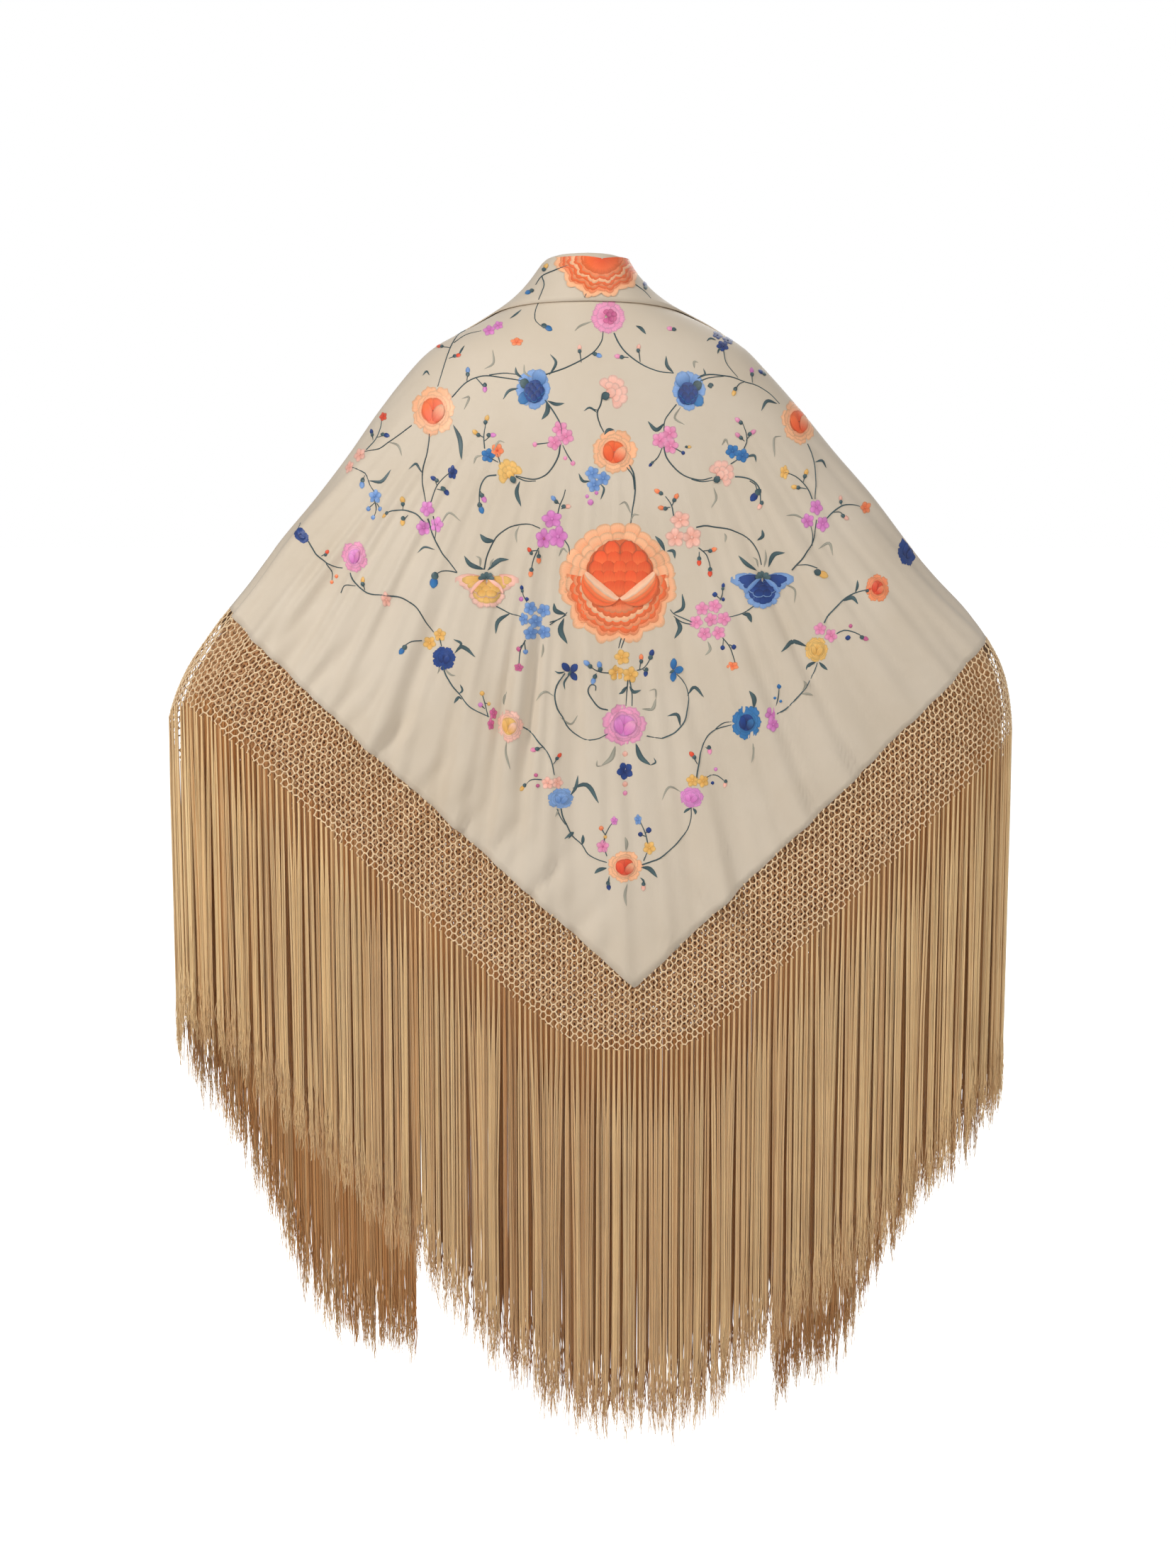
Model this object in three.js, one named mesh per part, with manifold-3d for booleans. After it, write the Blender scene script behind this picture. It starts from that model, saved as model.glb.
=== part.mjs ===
// Embroidered silk shawl with a knotted net and a long fringe, in the form that it has when it
// is worn: a square of silk crepe folded on its diagonal, laid over both shoulders with the
// corner down the back, its folded edge turned down round the neck as a collar and open down
// the front. Millimetres, +Z up. The origin is on the neck's axis at the base of the neck, the
// back lies towards -Y, and the wearer's left is towards -X. Nothing stands inside the cloth.

import * as THREE from 'three';
import Module from 'manifold-3d';
import { mergeVertices } from 'three/addons/utils/BufferGeometryUtils.js';

const wasm = await Module();
wasm.setup();

// Thicknesses of the walls, and the gap that the pieces keep at their seams
const SILK_WALL = 2;
const INNER_WALL = 1.6;
const COLLAR_WALL = 2.4;
const NET_WALL = 1.6;
const STRIP_WALL = 2.4;
const SEAM = 0.7;
const SIDE_TRIM = 0.0016;
const CENTRE_TRIM = 0.0002;

// How closely the faces follow the form
const ROW_POWER = 1.7;
const COLUMN_BEND = 0.5;
const PATH_STEPS = 300;
const MEETING_STEPS = 40;
const NORMAL_STEP = { u: 0.002, z: 1 };

// The back corner, the tips of the two fronts and the width of the net
const CORNER = { x: 58, z: -822 };
const HEM_SLOPE = { left: -0.905, right: 0.955 };
const TIP_Z = { left: -770, right: -850 };
const NET_WIDTH = 110;
const NET_AT_CORNER = 83;
const NET_AT_TIP = 115;
const NET_FRONT_EXTRA = 50;
const NET_SIDE_DROP = { left: 50, right: 0 };
const NET_SIDE_POWER = 6;
const CORNER_ROUNDING = 24;
const FRONT_HEM_POWER = 1.5;

// The inner half of the folded square: how far inside it lies and how much shorter it ends
const INNER_LIFT_AT_NECK = -2.2;
const INNER_LIFT = -13;
const INNER_LIFT_REACH = 50;
const INNER_SHORTER = 15;

// Fringe
const STRIP_HEIGHT = 12;
const OUTER_STRAND_SPACING = 16.5;
const INNER_STRAND_SPACING = 33;
const INNER_FRINGE_SHORTER = 12;
const STRAND = {
  root: { halfWidth: 2.2, halfDepth: 0.9 },
  belly: { halfWidth: 4.2, halfDepth: 2 },
  end: { halfWidth: 2.2, halfDepth: 1 },
  bellyAt: 0.45,
  sway: 3,
  uneven: 14,
};

// Horizontal sections of the worn cloth, from the fringe up to the neck: the half widths to
// the left and right, and how deep the section reaches behind and in front of the neck's axis
const SECTIONS = [
  { z: -1020, left: 540, right: 540, back: 129, front: 163 },
  { z: -916, left: 541, right: 541, back: 130, front: 160 },
  { z: -635, left: 541, right: 540, back: 133, front: 154 },
  { z: -544, left: 540, right: 539, back: 134, front: 151 },
  { z: -489, left: 528, right: 536, back: 135, front: 148 },
  { z: -435, left: 505, right: 523, back: 136, front: 145 },
  { z: -381, left: 467, right: 491, back: 137, front: 142 },
  { z: -328, left: 424, right: 443, back: 138, front: 139 },
  { z: -274, left: 382, right: 397, back: 138, front: 135 },
  { z: -221, left: 338, right: 354, back: 138, front: 128 },
  { z: -169, left: 297, right: 308, back: 136, front: 119 },
  { z: -116, left: 259, right: 264, back: 131, front: 105 },
  { z: -64, left: 217, right: 217, back: 120, front: 88 },
  { z: -38, left: 188, right: 190, back: 112, front: 79 },
  { z: -13, left: 140, right: 147, back: 101, front: 69 },
  { z: 13, left: 94, right: 93, back: 88, front: 59 },
  { z: 39, left: 66, right: 62, back: 72, front: 50 },
  { z: 64, left: 49, right: 43, back: 58, front: 43 },
  { z: 95, left: 40, right: 35, back: 52, front: 40 },
];

// The top of the cloth, from the nape (0) past the neck's side (1) to the front edge (2)
const TOP_LINE = [
  { at: 0, z: 66 },
  { at: 0.5, z: 64.5 },
  { at: 1, z: 58 },
  { at: 1.3, z: 50 },
  { at: 1.6, z: 33 },
  { at: 2, z: 0 },
];

// The two front edges: how far round the section, from the back, each height reaches
const OPENING = [
  { z: -1020, turn: 149 },
  { z: -850, turn: 154 },
  { z: -770, turn: 156 },
  { z: -500, turn: 162 },
  { z: -300, turn: 161 },
  { z: -140, turn: 159 },
  { z: -60, turn: 155 },
  { z: 0, turn: 142 },
  { z: 95, turn: 138 },
];

// The folds of the back fan out from a point above the neck: the angle from straight down,
// the half width in degrees, the depth, and the distance from that point where each begins
const FAN = { x: 29, z: 125 };
const FOLD_RISE = 200;
const FOLDS_FADE = { from: 0.84, to: 0.99 };
const BACK_FOLDS = [
  { angle: -41, width: 1.5, depth: 5, from: 330 },
  { angle: -35.5, width: 1.7, depth: 5, from: 360 },
  { angle: -29.3, width: 1.3, depth: 4, from: 420 },
  { angle: -23, width: 1.2, depth: 5, from: 430 },
  { angle: -16.5, width: 1.4, depth: 4.5, from: 520 },
  { angle: -12.3, width: 1.1, depth: 5.5, from: 380 },
  { angle: -9.4, width: 1.1, depth: 7, from: 400 },
  { angle: -4.5, width: 1.2, depth: 4, from: 580 },
  { angle: 4, width: 1.1, depth: 4, from: 580 },
  { angle: 6.9, width: 1.1, depth: 5, from: 500 },
  { angle: 11.5, width: 1.3, depth: 4, from: 540 },
  { angle: 18, width: 2.2, depth: 3.5, from: 540 },
  { angle: 27, width: 2.4, depth: 3, from: 500 },
  { angle: 38, width: 2.2, depth: 3, from: 380 },
];

// The rounded folds that hang down each front: the place between the side (0) and the front
// edge (1), the half width, how far it stands out, and the z at which it starts
const FRONT_FOLDS = [
  { at: 0.16, width: 0.06, height: 11, from: -120 },
  { at: 0.34, width: 0.055, height: 15, from: -70 },
  { at: 0.52, width: 0.055, height: 13, from: -90 },
  { at: 0.68, width: 0.045, height: 16, from: -60 },
  { at: 0.84, width: 0.045, height: 12, from: -80 },
];
const FRONT_FOLD_RISE = 260;
const NET_KEEPS = 0.45;

// The turned collar: along the crease from the nape (0) past the neck's side (1) and the top
// of the front edge (2) to its end down that edge (3), and where its own free edge lies there
const COLLAR = [
  { crease: 0, edge: 0, z: 11 },
  { crease: 0.4, edge: 0.42, z: 9 },
  { crease: 0.8, edge: 0.8, z: 3 },
  { crease: 1, edge: 0.98, z: -4 },
  { crease: 1.4, edge: 1.2, z: -32 },
  { crease: 2, edge: 1.45, z: -88 },
  { crease: 2.4, edge: 1.66, z: -155 },
  { crease: 2.8, edge: 1.88, z: -228 },
  { crease: 3, edge: 1.965, z: -268 },
];
const COLLAR_REACH = 250;
const COLLAR_END = 3;
const COLLAR_COLUMNS = 36;
const COLLAR_ROLL = [
  { past: 3.3, out: -3.4 },
  { past: 3.9, out: -0.8 },
  { past: 3.6, out: 3 },
  { past: 1.4, out: 5.9 },
];
const COLLAR_LIFTS = [6.8, 7.2, 7, 6.4];

// The fringe's length from the left front tip (-2), round the back corner (0), to the right
const FRINGE_LENGTH = [
  { at: -2, length: 528 },
  { at: -1.5, length: 500 },
  { at: -1, length: 462 },
  { at: -0.5, length: 492 },
  { at: 0, length: 505 },
  { at: 1, length: 500 },
  { at: 2, length: 535 },
];

const silk = new THREE.MeshStandardMaterial({ color: 0xd9cfba, roughness: 0.55, metalness: 0 });
const netting = new THREE.MeshStandardMaterial({ color: 0xcdb283, roughness: 0.6, metalness: 0 });
const fringing = new THREE.MeshStandardMaterial({ color: 0xcfae78, roughness: 0.5, metalness: 0 });

const { clamp, degToRad, lerp, radToDeg, smoothstep } = THREE.MathUtils;

// A smooth curve through one column of a table whose key column rises from row to row
function smooth(table, key, column, at) {
  const last = table.length - 1;
  const place = clamp(at, table[0][key], table[last][key]);
  let row = 0;
  while (row < last - 1 && place > table[row + 1][key]) row += 1;
  const slope = (k) => {
    const before = table[Math.max(k - 1, 0)];
    const after = table[Math.min(k + 1, last)];
    return (after[column] - before[column]) / (after[key] - before[key]);
  };
  const step = table[row + 1][key] - table[row][key];
  const t = (place - table[row][key]) / step;
  const rise = table[row + 1][column] - table[row][column];
  const first = slope(row) * step;
  const second = slope(row + 1) * step;
  const bend = (first - rise) * (1 - t) + (rise - second) * t;
  return table[row][column] + t * rise + t * (1 - t) * bend;
}

const sideOf = (u) => (u < 0 ? 'left' : 'right');

// The shawl is measured by u, from -2 at the left front edge and -1 at the left arm through
// 0 at the spine to 2 at the right front edge, and by the height z
function turnAt(u, z) {
  const far = Math.abs(u);
  const turn = far <= 1 ? 90 * far : 90 + (far - 1) * (smooth(OPENING, 'z', 'turn', z) - 90);
  return Math.sign(u) * degToRad(turn);
}

function smoothPoint(u, z) {
  const turn = turnAt(u, z);
  const x = smooth(SECTIONS, 'z', sideOf(u), z) * Math.sin(turn);
  const depth = smooth(SECTIONS, 'z', Math.cos(turn) > 0 ? 'back' : 'front', z);
  return new THREE.Vector3(x, -depth * Math.cos(turn), z);
}

// The outward normal of a surface that is given as a function of u and z
function normalOf(surface, u, z) {
  const step = NORMAL_STEP;
  const across = surface(Math.min(u + step.u, 2), z).sub(surface(Math.max(u - step.u, -2), z));
  const up = surface(u, z + step.z).sub(surface(u, z - step.z));
  return across.cross(up).normalize();
}

function backFoldAt(point) {
  const across = point.x - FAN.x;
  const down = FAN.z - point.z;
  const angle = radToDeg(Math.atan2(across, down));
  const reach = Math.hypot(across, down);
  let depth = 0;
  for (const fold of BACK_FOLDS) {
    const shape = Math.exp(-(((angle - fold.angle) / fold.width) ** 2));
    depth += fold.depth * shape * smoothstep(reach, fold.from, fold.from + FOLD_RISE);
  }
  return -depth;
}

function frontFoldAt(u, z) {
  const place = Math.abs(u) - 1;
  let height = 0;
  for (const fold of FRONT_FOLDS) {
    const shape = Math.exp(-(((place - fold.at) / fold.width) ** 2));
    height += fold.height * shape * smoothstep(-z, -fold.from, FRONT_FOLD_RISE - fold.from);
  }
  return height;
}

// The folds die away towards the arms and soften across the net
function foldAt(u, z) {
  const far = Math.abs(u);
  const hem = hemAt(u);
  const softer = lerp(1, NET_KEEPS, smoothstep(hem - z, 0, NET_WIDTH));
  if (far > 1) return frontFoldAt(u, z) * softer;
  const fade = 1 - smoothstep(far, FOLDS_FADE.from, FOLDS_FADE.to);
  return backFoldAt(smoothPoint(u, z)) * softer * fade;
}

function foldedPoint(u, z) {
  return smoothPoint(u, z).addScaledVector(normalOf(smoothPoint, u, z), foldAt(u, z));
}

function outerPoint(u, z, lift = 0) {
  return foldedPoint(u, z).addScaledVector(normalOf(foldedPoint, u, z), lift);
}

function innerPoint(u, z) {
  const lift = lerp(INNER_LIFT_AT_NECK, INNER_LIFT, smoothstep(topAt(u) - z, 0, INNER_LIFT_REACH));
  return smoothPoint(u, z).addScaledVector(normalOf(smoothPoint, u, z), lift);
}

const topAt = (u) => smooth(TOP_LINE, 'at', 'z', Math.abs(u));

// The height at which the section at u meets a line that is a function of x
function meetLine(u, line) {
  let high = topAt(u);
  let low = SECTIONS[0].z;
  for (let i = 0; i < MEETING_STEPS; i += 1) {
    const z = (high + low) / 2;
    if (z > line(smoothPoint(u, z).x)) high = z;
    else low = z;
  }
  return (high + low) / 2;
}

function hemLine(x) {
  return CORNER.z + (x - CORNER.x) * HEM_SLOPE[x < CORNER.x ? 'left' : 'right'];
}

// The net's outer line, parallel to the hem and rounded below the gathered corner
function netLine(x) {
  const slope = HEM_SLOPE[x < CORNER.x ? 'left' : 'right'];
  const parallel = hemLine(x) - NET_WIDTH * Math.hypot(1, slope);
  const corner = CORNER.z - NET_AT_CORNER;
  return (parallel + corner + Math.hypot(parallel - corner, CORNER_ROUNDING)) / 2;
}

const remembered = new Map();

function hemAt(u) {
  if (remembered.has(u)) return remembered.get(u);
  const far = Math.abs(u);
  const side = Math.sign(u);
  const arm = far > 1 ? meetLine(side, hemLine) : 0;
  const hem = far > 1 ? lerp(arm, TIP_Z[sideOf(u)], (far - 1) ** FRONT_HEM_POWER) : meetLine(u, hemLine);
  remembered.set(u, hem);
  return hem;
}

function backNetAt(u) {
  return meetLine(u, netLine) - NET_SIDE_DROP[sideOf(u)] * Math.abs(u) ** NET_SIDE_POWER;
}

function netAt(u) {
  const far = Math.abs(u);
  if (far <= 1) return backNetAt(u);
  const side = Math.sign(u);
  const drop = lerp(hemAt(side) - backNetAt(side), NET_AT_TIP, far - 1);
  return hemAt(u) - drop - NET_FRONT_EXTRA * Math.sin(Math.PI * (far - 1));
}

// Steps from one u to another, closer together where the cloth is wide and where it turns
function columns(from, to, count) {
  const spread = (s) => {
    const far = Math.abs(s);
    const bent = far <= 1 ? radToDeg(Math.asin(far)) / 90 : 1 + Math.sin((far - 1) * Math.PI / 2);
    return Math.sign(s) * lerp(far, bent, COLUMN_BEND);
  };
  const start = spread(from);
  const end = spread(to);
  return Array.from({ length: count + 1 }, (_, i) => {
    const share = (spread(lerp(from, to, i / count)) - start) / (end - start);
    return lerp(from, to, share);
  });
}

function geometryOf(points, triangles) {
  const geometry = new THREE.BufferGeometry();
  geometry.setAttribute('position', new THREE.Float32BufferAttribute(points, 3));
  geometry.setIndex(triangles);
  return geometry;
}

// A closed wall about a grid of middle points, one list of points for each column
function wall(grid, normals, thickness) {
  const rows = grid[0].length;
  const points = [];
  grid.forEach((column, i) => column.forEach((point, j) => {
    for (const side of [0.5, -0.5]) {
      points.push(...point.clone().addScaledVector(normals[i][j], side * thickness).toArray());
    }
  }));
  const outer = (i, j) => 2 * (i * rows + j);
  const inner = (i, j) => outer(i, j) + 1;
  const triangles = [];
  const quad = (a, b, c, d) => triangles.push(a, b, c, a, c, d);
  const lastColumn = grid.length - 1;
  const lastRow = rows - 1;
  for (let i = 0; i < lastColumn; i += 1) {
    for (let j = 0; j < lastRow; j += 1) {
      quad(outer(i, j), outer(i, j + 1), outer(i + 1, j + 1), outer(i + 1, j));
      quad(inner(i, j), inner(i + 1, j), inner(i + 1, j + 1), inner(i, j + 1));
    }
    quad(outer(i, 0), outer(i + 1, 0), inner(i + 1, 0), inner(i, 0));
    quad(outer(i, lastRow), inner(i, lastRow), inner(i + 1, lastRow), outer(i + 1, lastRow));
  }
  for (let j = 0; j < lastRow; j += 1) {
    quad(outer(0, j), inner(0, j), inner(0, j + 1), outer(0, j + 1));
    const [top, next] = [j, j + 1];
    quad(outer(lastColumn, top), outer(lastColumn, next), inner(lastColumn, next), inner(lastColumn, top));
  }
  return geometryOf(points, triangles);
}

// A wall of the cloth between two heights that depend on u, its rows closer near the top
function clothWall({ across, topOf, bottomOf, rows, thickness, inner = false, power = 1 }) {
  const surface = inner ? innerPoint : foldedPoint;
  const grid = [];
  const normals = [];
  for (const u of across) {
    const heights = Array.from({ length: rows + 1 }, (_, j) => (
      lerp(topOf(u), bottomOf(u), (j / rows) ** power)));
    grid.push(heights.map((z) => surface(u, z)));
    normals.push(heights.map((z) => normalOf(surface, u, z)));
  }
  return wall(grid, normals, thickness);
}

// The normals of a grid of points, from the neighbours of each point
function gridNormals(grid) {
  return grid.map((column, i) => column.map((point, j) => {
    const before = grid[Math.max(i - 1, 0)][j];
    const after = grid[Math.min(i + 1, grid.length - 1)][j];
    const above = column[Math.max(j - 1, 0)];
    const below = column[Math.min(j + 1, column.length - 1)];
    return after.clone().sub(before).cross(above.clone().sub(below)).normalize();
  }));
}

// The crease of the collar runs along the top of the cloth and then down the front edge
function creaseAt(c) {
  const far = Math.abs(c);
  if (far <= 2) return { u: c, z: topAt(c) };
  return { u: 2 * Math.sign(c), z: topAt(2) - (far - 2) * COLLAR_REACH };
}

function collarGeometry() {
  const halfStep = COLLAR_END / COLLAR_COLUMNS;
  const grid = Array.from({ length: COLLAR_COLUMNS + 1 }, (_, i) => {
    const c = lerp(-COLLAR_END, COLLAR_END, i / COLLAR_COLUMNS);
    const crease = creaseAt(c);
    const before = creaseAt(Math.max(c - halfStep, -COLLAR_END));
    const after = creaseAt(Math.min(c + halfStep, COLLAR_END));
    const start = foldedPoint(crease.u, crease.z);
    const out = normalOf(foldedPoint, crease.u, crease.z);
    const along = foldedPoint(after.u, after.z).sub(foldedPoint(before.u, before.z)).normalize();
    const past = out.clone().cross(along).normalize();
    const edge = {
      u: Math.sign(c) * smooth(COLLAR, 'crease', 'edge', Math.abs(c)),
      z: smooth(COLLAR, 'crease', 'z', Math.abs(c)),
    };
    const roll = COLLAR_ROLL.map((step) => start.clone()
      .addScaledVector(past, step.past).addScaledVector(out, step.out));
    const flap = COLLAR_LIFTS.map((lift, k) => {
      const share = (k + 1) / COLLAR_LIFTS.length;
      return outerPoint(lerp(crease.u, edge.u, share), lerp(crease.z, edge.z, share), lift);
    });
    return [...roll, ...flap];
  });
  return wall(grid, gridNormals(grid), COLLAR_WALL);
}

function solidOf(geometry) {
  const merged = mergeVertices(geometry);
  return new wasm.Manifold(new wasm.Mesh({
    numProp: 3,
    vertProperties: new Float32Array(merged.attributes.position.array),
    triVerts: new Uint32Array(merged.index.array),
  }));
}

function geometryFrom(solid) {
  const mesh = solid.getMesh();
  return geometryOf(Array.from(mesh.vertProperties), Array.from(mesh.triVerts));
}

// An even spread of numbers from -1 to 1 that is the same on every run
const uneven = (seed) => 2 * (((Math.sin(seed * 12.9898) * 43758.5453) % 1 + 1) % 1) - 1;

// One three-sided lock of the fringe, from inside its strip straight down
function strandGeometry(top, outward, length, seed) {
  const along = new THREE.Vector3(-outward.y, outward.x, 0);
  const levels = [
    { ...STRAND.root, drop: 0, shift: 0 },
    { ...STRAND.belly, drop: length * STRAND.bellyAt, shift: STRAND.sway * uneven(seed) / 2 },
    { ...STRAND.end, drop: length, shift: STRAND.sway * uneven(seed + 0.5) },
  ];
  const points = [];
  for (const level of levels) {
    const centre = top.clone().addScaledVector(along, level.shift);
    centre.z -= level.drop;
    const corners = [[-1, 1], [1, 1], [0, -1]];
    for (const [side, face] of corners) {
      points.push(...centre.clone().addScaledVector(along, side * level.halfWidth)
        .addScaledVector(outward, face * level.halfDepth).toArray());
    }
  }
  const triangles = [0, 1, 2, 6, 8, 7];
  for (const level of [0, 3]) {
    for (let k = 0; k < 3; k += 1) {
      const next = (k + 1) % 3;
      triangles.push(level + k, level + 3 + k, level + 3 + next, level + k, level + 3 + next, level + next);
    }
  }
  return geometryOf(points, triangles);
}

// A strip along the net's outer line with the locks of the fringe hanging from it
function fringeGeometry({ from, to, count, spacing, inner = false }) {
  const surface = inner ? innerPoint : foldedPoint;
  const shorter = inner ? INNER_SHORTER : 0;
  const topOf = (u) => netAt(u) + shorter - SEAM;
  const middleOf = (u) => topOf(u) - STRIP_HEIGHT / 2;
  const across = columns(from, to, count);
  const bottomOf = (u) => topOf(u) - STRIP_HEIGHT;
  let solid = solidOf(clothWall({ across, topOf, bottomOf, rows: 1, thickness: STRIP_WALL, inner }));
  const path = columns(from, to, PATH_STEPS).map((u) => ({ u, top: surface(u, middleOf(u)), run: 0 }));
  path.slice(1).forEach((here, k) => {
    here.run = path[k].run + Math.hypot(here.top.x - path[k].top.x, here.top.y - path[k].top.y);
  });
  const whole = path[path.length - 1].run;
  const locks = Math.round(whole / spacing);
  for (let k = 0; k < locks; k += 1) {
    const { u, top } = path.find((here) => here.run >= whole * (k + 0.5) / locks);
    const outward = normalOf(surface, u, middleOf(u)).setZ(0).normalize();
    const seed = u * 37 + (inner ? 11 : 0);
    const length = smooth(FRINGE_LENGTH, 'at', 'length', u) - (inner ? INNER_FRINGE_SHORTER : 0);
    const lock = strandGeometry(top, outward, length + STRAND.uneven * uneven(seed), seed);
    solid = solid.add(solidOf(lock));
  }
  return geometryFrom(solid);
}

const shawl = new THREE.Group();

function addPiece(name, geometry, material) {
  const mesh = new THREE.Mesh(geometry, material);
  mesh.name = name;
  shawl.add(mesh);
}

// The corner of the net lies below the back corner of the silk, a little right of the spine
const seamAngle = Math.asin(CORNER.x / smooth(SECTIONS, 'z', 'right', CORNER.z));
const CENTRE = seamAngle / (Math.PI / 2);

const STRETCHES = [
  { name: 'back', from: -1 + SIDE_TRIM, to: 1 - SIDE_TRIM },
  { name: 'front_left', from: -2, to: -1 - SIDE_TRIM },
  { name: 'front_right', from: 1 + SIDE_TRIM, to: 2 },
];
const EDGES = [
  { name: 'back_left', from: -1 + SIDE_TRIM, to: CENTRE - CENTRE_TRIM, steps: 34 },
  { name: 'back_right', from: CENTRE + CENTRE_TRIM, to: 1 - SIDE_TRIM, steps: 30 },
  { name: 'front_left', from: -2, to: -1 - SIDE_TRIM, steps: 20 },
  { name: 'front_right', from: 1 + SIDE_TRIM, to: 2, steps: 20 },
];
const OUTER_STEPS = { back: { across: 68, rows: 13 }, front: { across: 20, rows: 12 } };
const INNER_STEPS = { back: { across: 32, rows: 9 }, front: { across: 10, rows: 9 } };

for (const { name, from, to } of STRETCHES) {
  const place = name === 'back' ? 'back' : 'front';
  const outer = OUTER_STEPS[place];
  const inner = INNER_STEPS[place];
  addPiece(`${name}_panel`, clothWall({
    across: columns(from, to, outer.across),
    topOf: topAt,
    bottomOf: hemAt,
    rows: outer.rows,
    thickness: SILK_WALL,
    power: ROW_POWER,
  }), silk);
  addPiece(`inner_${name}_panel`, clothWall({
    across: columns(from, to, inner.across),
    topOf: topAt,
    bottomOf: (u) => hemAt(u) + INNER_SHORTER,
    rows: inner.rows,
    thickness: INNER_WALL,
    inner: true,
    power: ROW_POWER,
  }), silk);
}

addPiece('turned_collar', collarGeometry(), silk);

for (const { name, from, to, steps } of EDGES) {
  const innerSteps = Math.round(steps / 2);
  addPiece(`net_${name}`, clothWall({
    across: columns(from, to, steps),
    topOf: (u) => hemAt(u) - SEAM,
    bottomOf: netAt,
    rows: 2,
    thickness: NET_WALL,
  }), netting);
  addPiece(`inner_net_${name}`, clothWall({
    across: columns(from, to, innerSteps),
    topOf: (u) => hemAt(u) + INNER_SHORTER - SEAM,
    bottomOf: (u) => netAt(u) + INNER_SHORTER,
    rows: 1,
    thickness: NET_WALL,
    inner: true,
  }), netting);
  addPiece(`fringe_${name}`, fringeGeometry({
    from, to, count: steps, spacing: OUTER_STRAND_SPACING,
  }), fringing);
  addPiece(`inner_fringe_${name}`, fringeGeometry({
    from, to, count: innerSteps, spacing: INNER_STRAND_SPACING, inner: true,
  }), fringing);
}

export default shawl;
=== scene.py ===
# %% [markdown]
# An embroidered silk shawl, worn over both shoulders and seen from behind.
# The real thing is a square of silk crepe folded on its diagonal. Its folded edge is turned
# down as a collar, flowers are worked in floss silk, a net is knotted along the hem and each
# cord of the net ends in long strands. The CAD part gives the form; this lesson gives the looks.

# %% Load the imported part
import math

import bmesh
import bpy
import numpy as np
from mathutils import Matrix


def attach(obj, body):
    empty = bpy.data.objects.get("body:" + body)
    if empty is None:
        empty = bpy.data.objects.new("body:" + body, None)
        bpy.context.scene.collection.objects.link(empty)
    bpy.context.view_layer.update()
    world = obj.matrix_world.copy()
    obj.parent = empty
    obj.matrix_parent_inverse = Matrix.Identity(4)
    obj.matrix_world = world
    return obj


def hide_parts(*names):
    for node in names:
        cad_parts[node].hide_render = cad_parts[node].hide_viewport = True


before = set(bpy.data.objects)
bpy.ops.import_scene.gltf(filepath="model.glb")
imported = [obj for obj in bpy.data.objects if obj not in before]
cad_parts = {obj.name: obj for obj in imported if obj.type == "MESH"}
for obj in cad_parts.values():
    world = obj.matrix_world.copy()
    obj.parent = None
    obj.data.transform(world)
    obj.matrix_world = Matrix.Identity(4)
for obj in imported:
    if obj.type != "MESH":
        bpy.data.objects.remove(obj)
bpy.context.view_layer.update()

MM = 0.001
chance = np.random.default_rng(17)

# %% [markdown]
# Draped cloth could be simulated, but a worn shawl has a form that we can measure, so the lesson
# repeats the part's own sections. Each table holds millimetres with named columns, and a smooth
# curve runs through each column. Everything then stands on the same form as the solids.

# %% Tables of the form
def table(columns, rows):
    """Named columns of numbers, one array for each name."""
    return dict(zip(columns.split(), np.array(rows, float).T))


SECTIONS = table("z left right back front", [
    (-1020, 540, 540, 129, 163),
    (-916, 541, 541, 130, 160),
    (-635, 541, 540, 133, 154),
    (-544, 540, 539, 134, 151),
    (-489, 528, 536, 135, 148),
    (-435, 505, 523, 136, 145),
    (-381, 467, 491, 137, 142),
    (-328, 424, 443, 138, 139),
    (-274, 382, 397, 138, 135),
    (-221, 338, 354, 138, 128),
    (-169, 297, 308, 136, 119),
    (-116, 259, 264, 131, 105),
    (-64, 217, 217, 120, 88),
    (-38, 188, 190, 112, 79),
    (-13, 140, 147, 101, 69),
    (13, 94, 93, 88, 59),
    (39, 66, 62, 72, 50),
    (64, 49, 43, 58, 43),
    (95, 40, 35, 52, 40),
])
TOP_LINE = table("at z", [(0, 66), (0.5, 64.5), (1, 58), (1.3, 50), (1.6, 33), (2, 0)])
OPENING = table("z turn", [
    (-1020, 149),
    (-850, 154),
    (-770, 156),
    (-500, 162),
    (-300, 161),
    (-140, 159),
    (-60, 155),
    (0, 142),
    (95, 138),
])
CORNER_X, CORNER_Z = 58, -822
HEM_SLOPE_LEFT, HEM_SLOPE_RIGHT = -0.905, 0.955
TIP_Z_LEFT, TIP_Z_RIGHT = -770, -850
FRONT_HEM_POWER = 1.5
NET_WIDTH = 110
NET_AT_CORNER = 83
NET_AT_TIP = 115
NET_FRONT_EXTRA = 50
NET_SIDE_DROP_LEFT = 50
NET_SIDE_POWER = 6
CORNER_ROUNDING = 24
MEETING_STEPS = 36
LINE_SAMPLES = 1601


def smooth(rows, key, column, at):
    """A smooth curve through one column of a table, at each of many places."""
    keys, values = rows[key], rows[column]
    slopes = np.gradient(values, keys)
    slopes[1:-1] = (values[2:] - values[:-2]) / (keys[2:] - keys[:-2])
    place = np.clip(at, keys[0], keys[-1])
    row = np.searchsorted(keys[1:-1], place)
    step = keys[row + 1] - keys[row]
    share = (place - keys[row]) / step
    rise = values[row + 1] - values[row]
    bend = (slopes[row] * step - rise) * (1 - share) + (rise - slopes[row + 1] * step) * share
    return values[row] + share * rise + share * (1 - share) * bend


def ease(value, start, end):
    """Rises smoothly from 0 at start to 1 at end."""
    share = np.clip((value - start) / (end - start), 0, 1)
    return share * share * (3 - 2 * share)


def mix(a, b, share):
    return a + (b - a) * share


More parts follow.
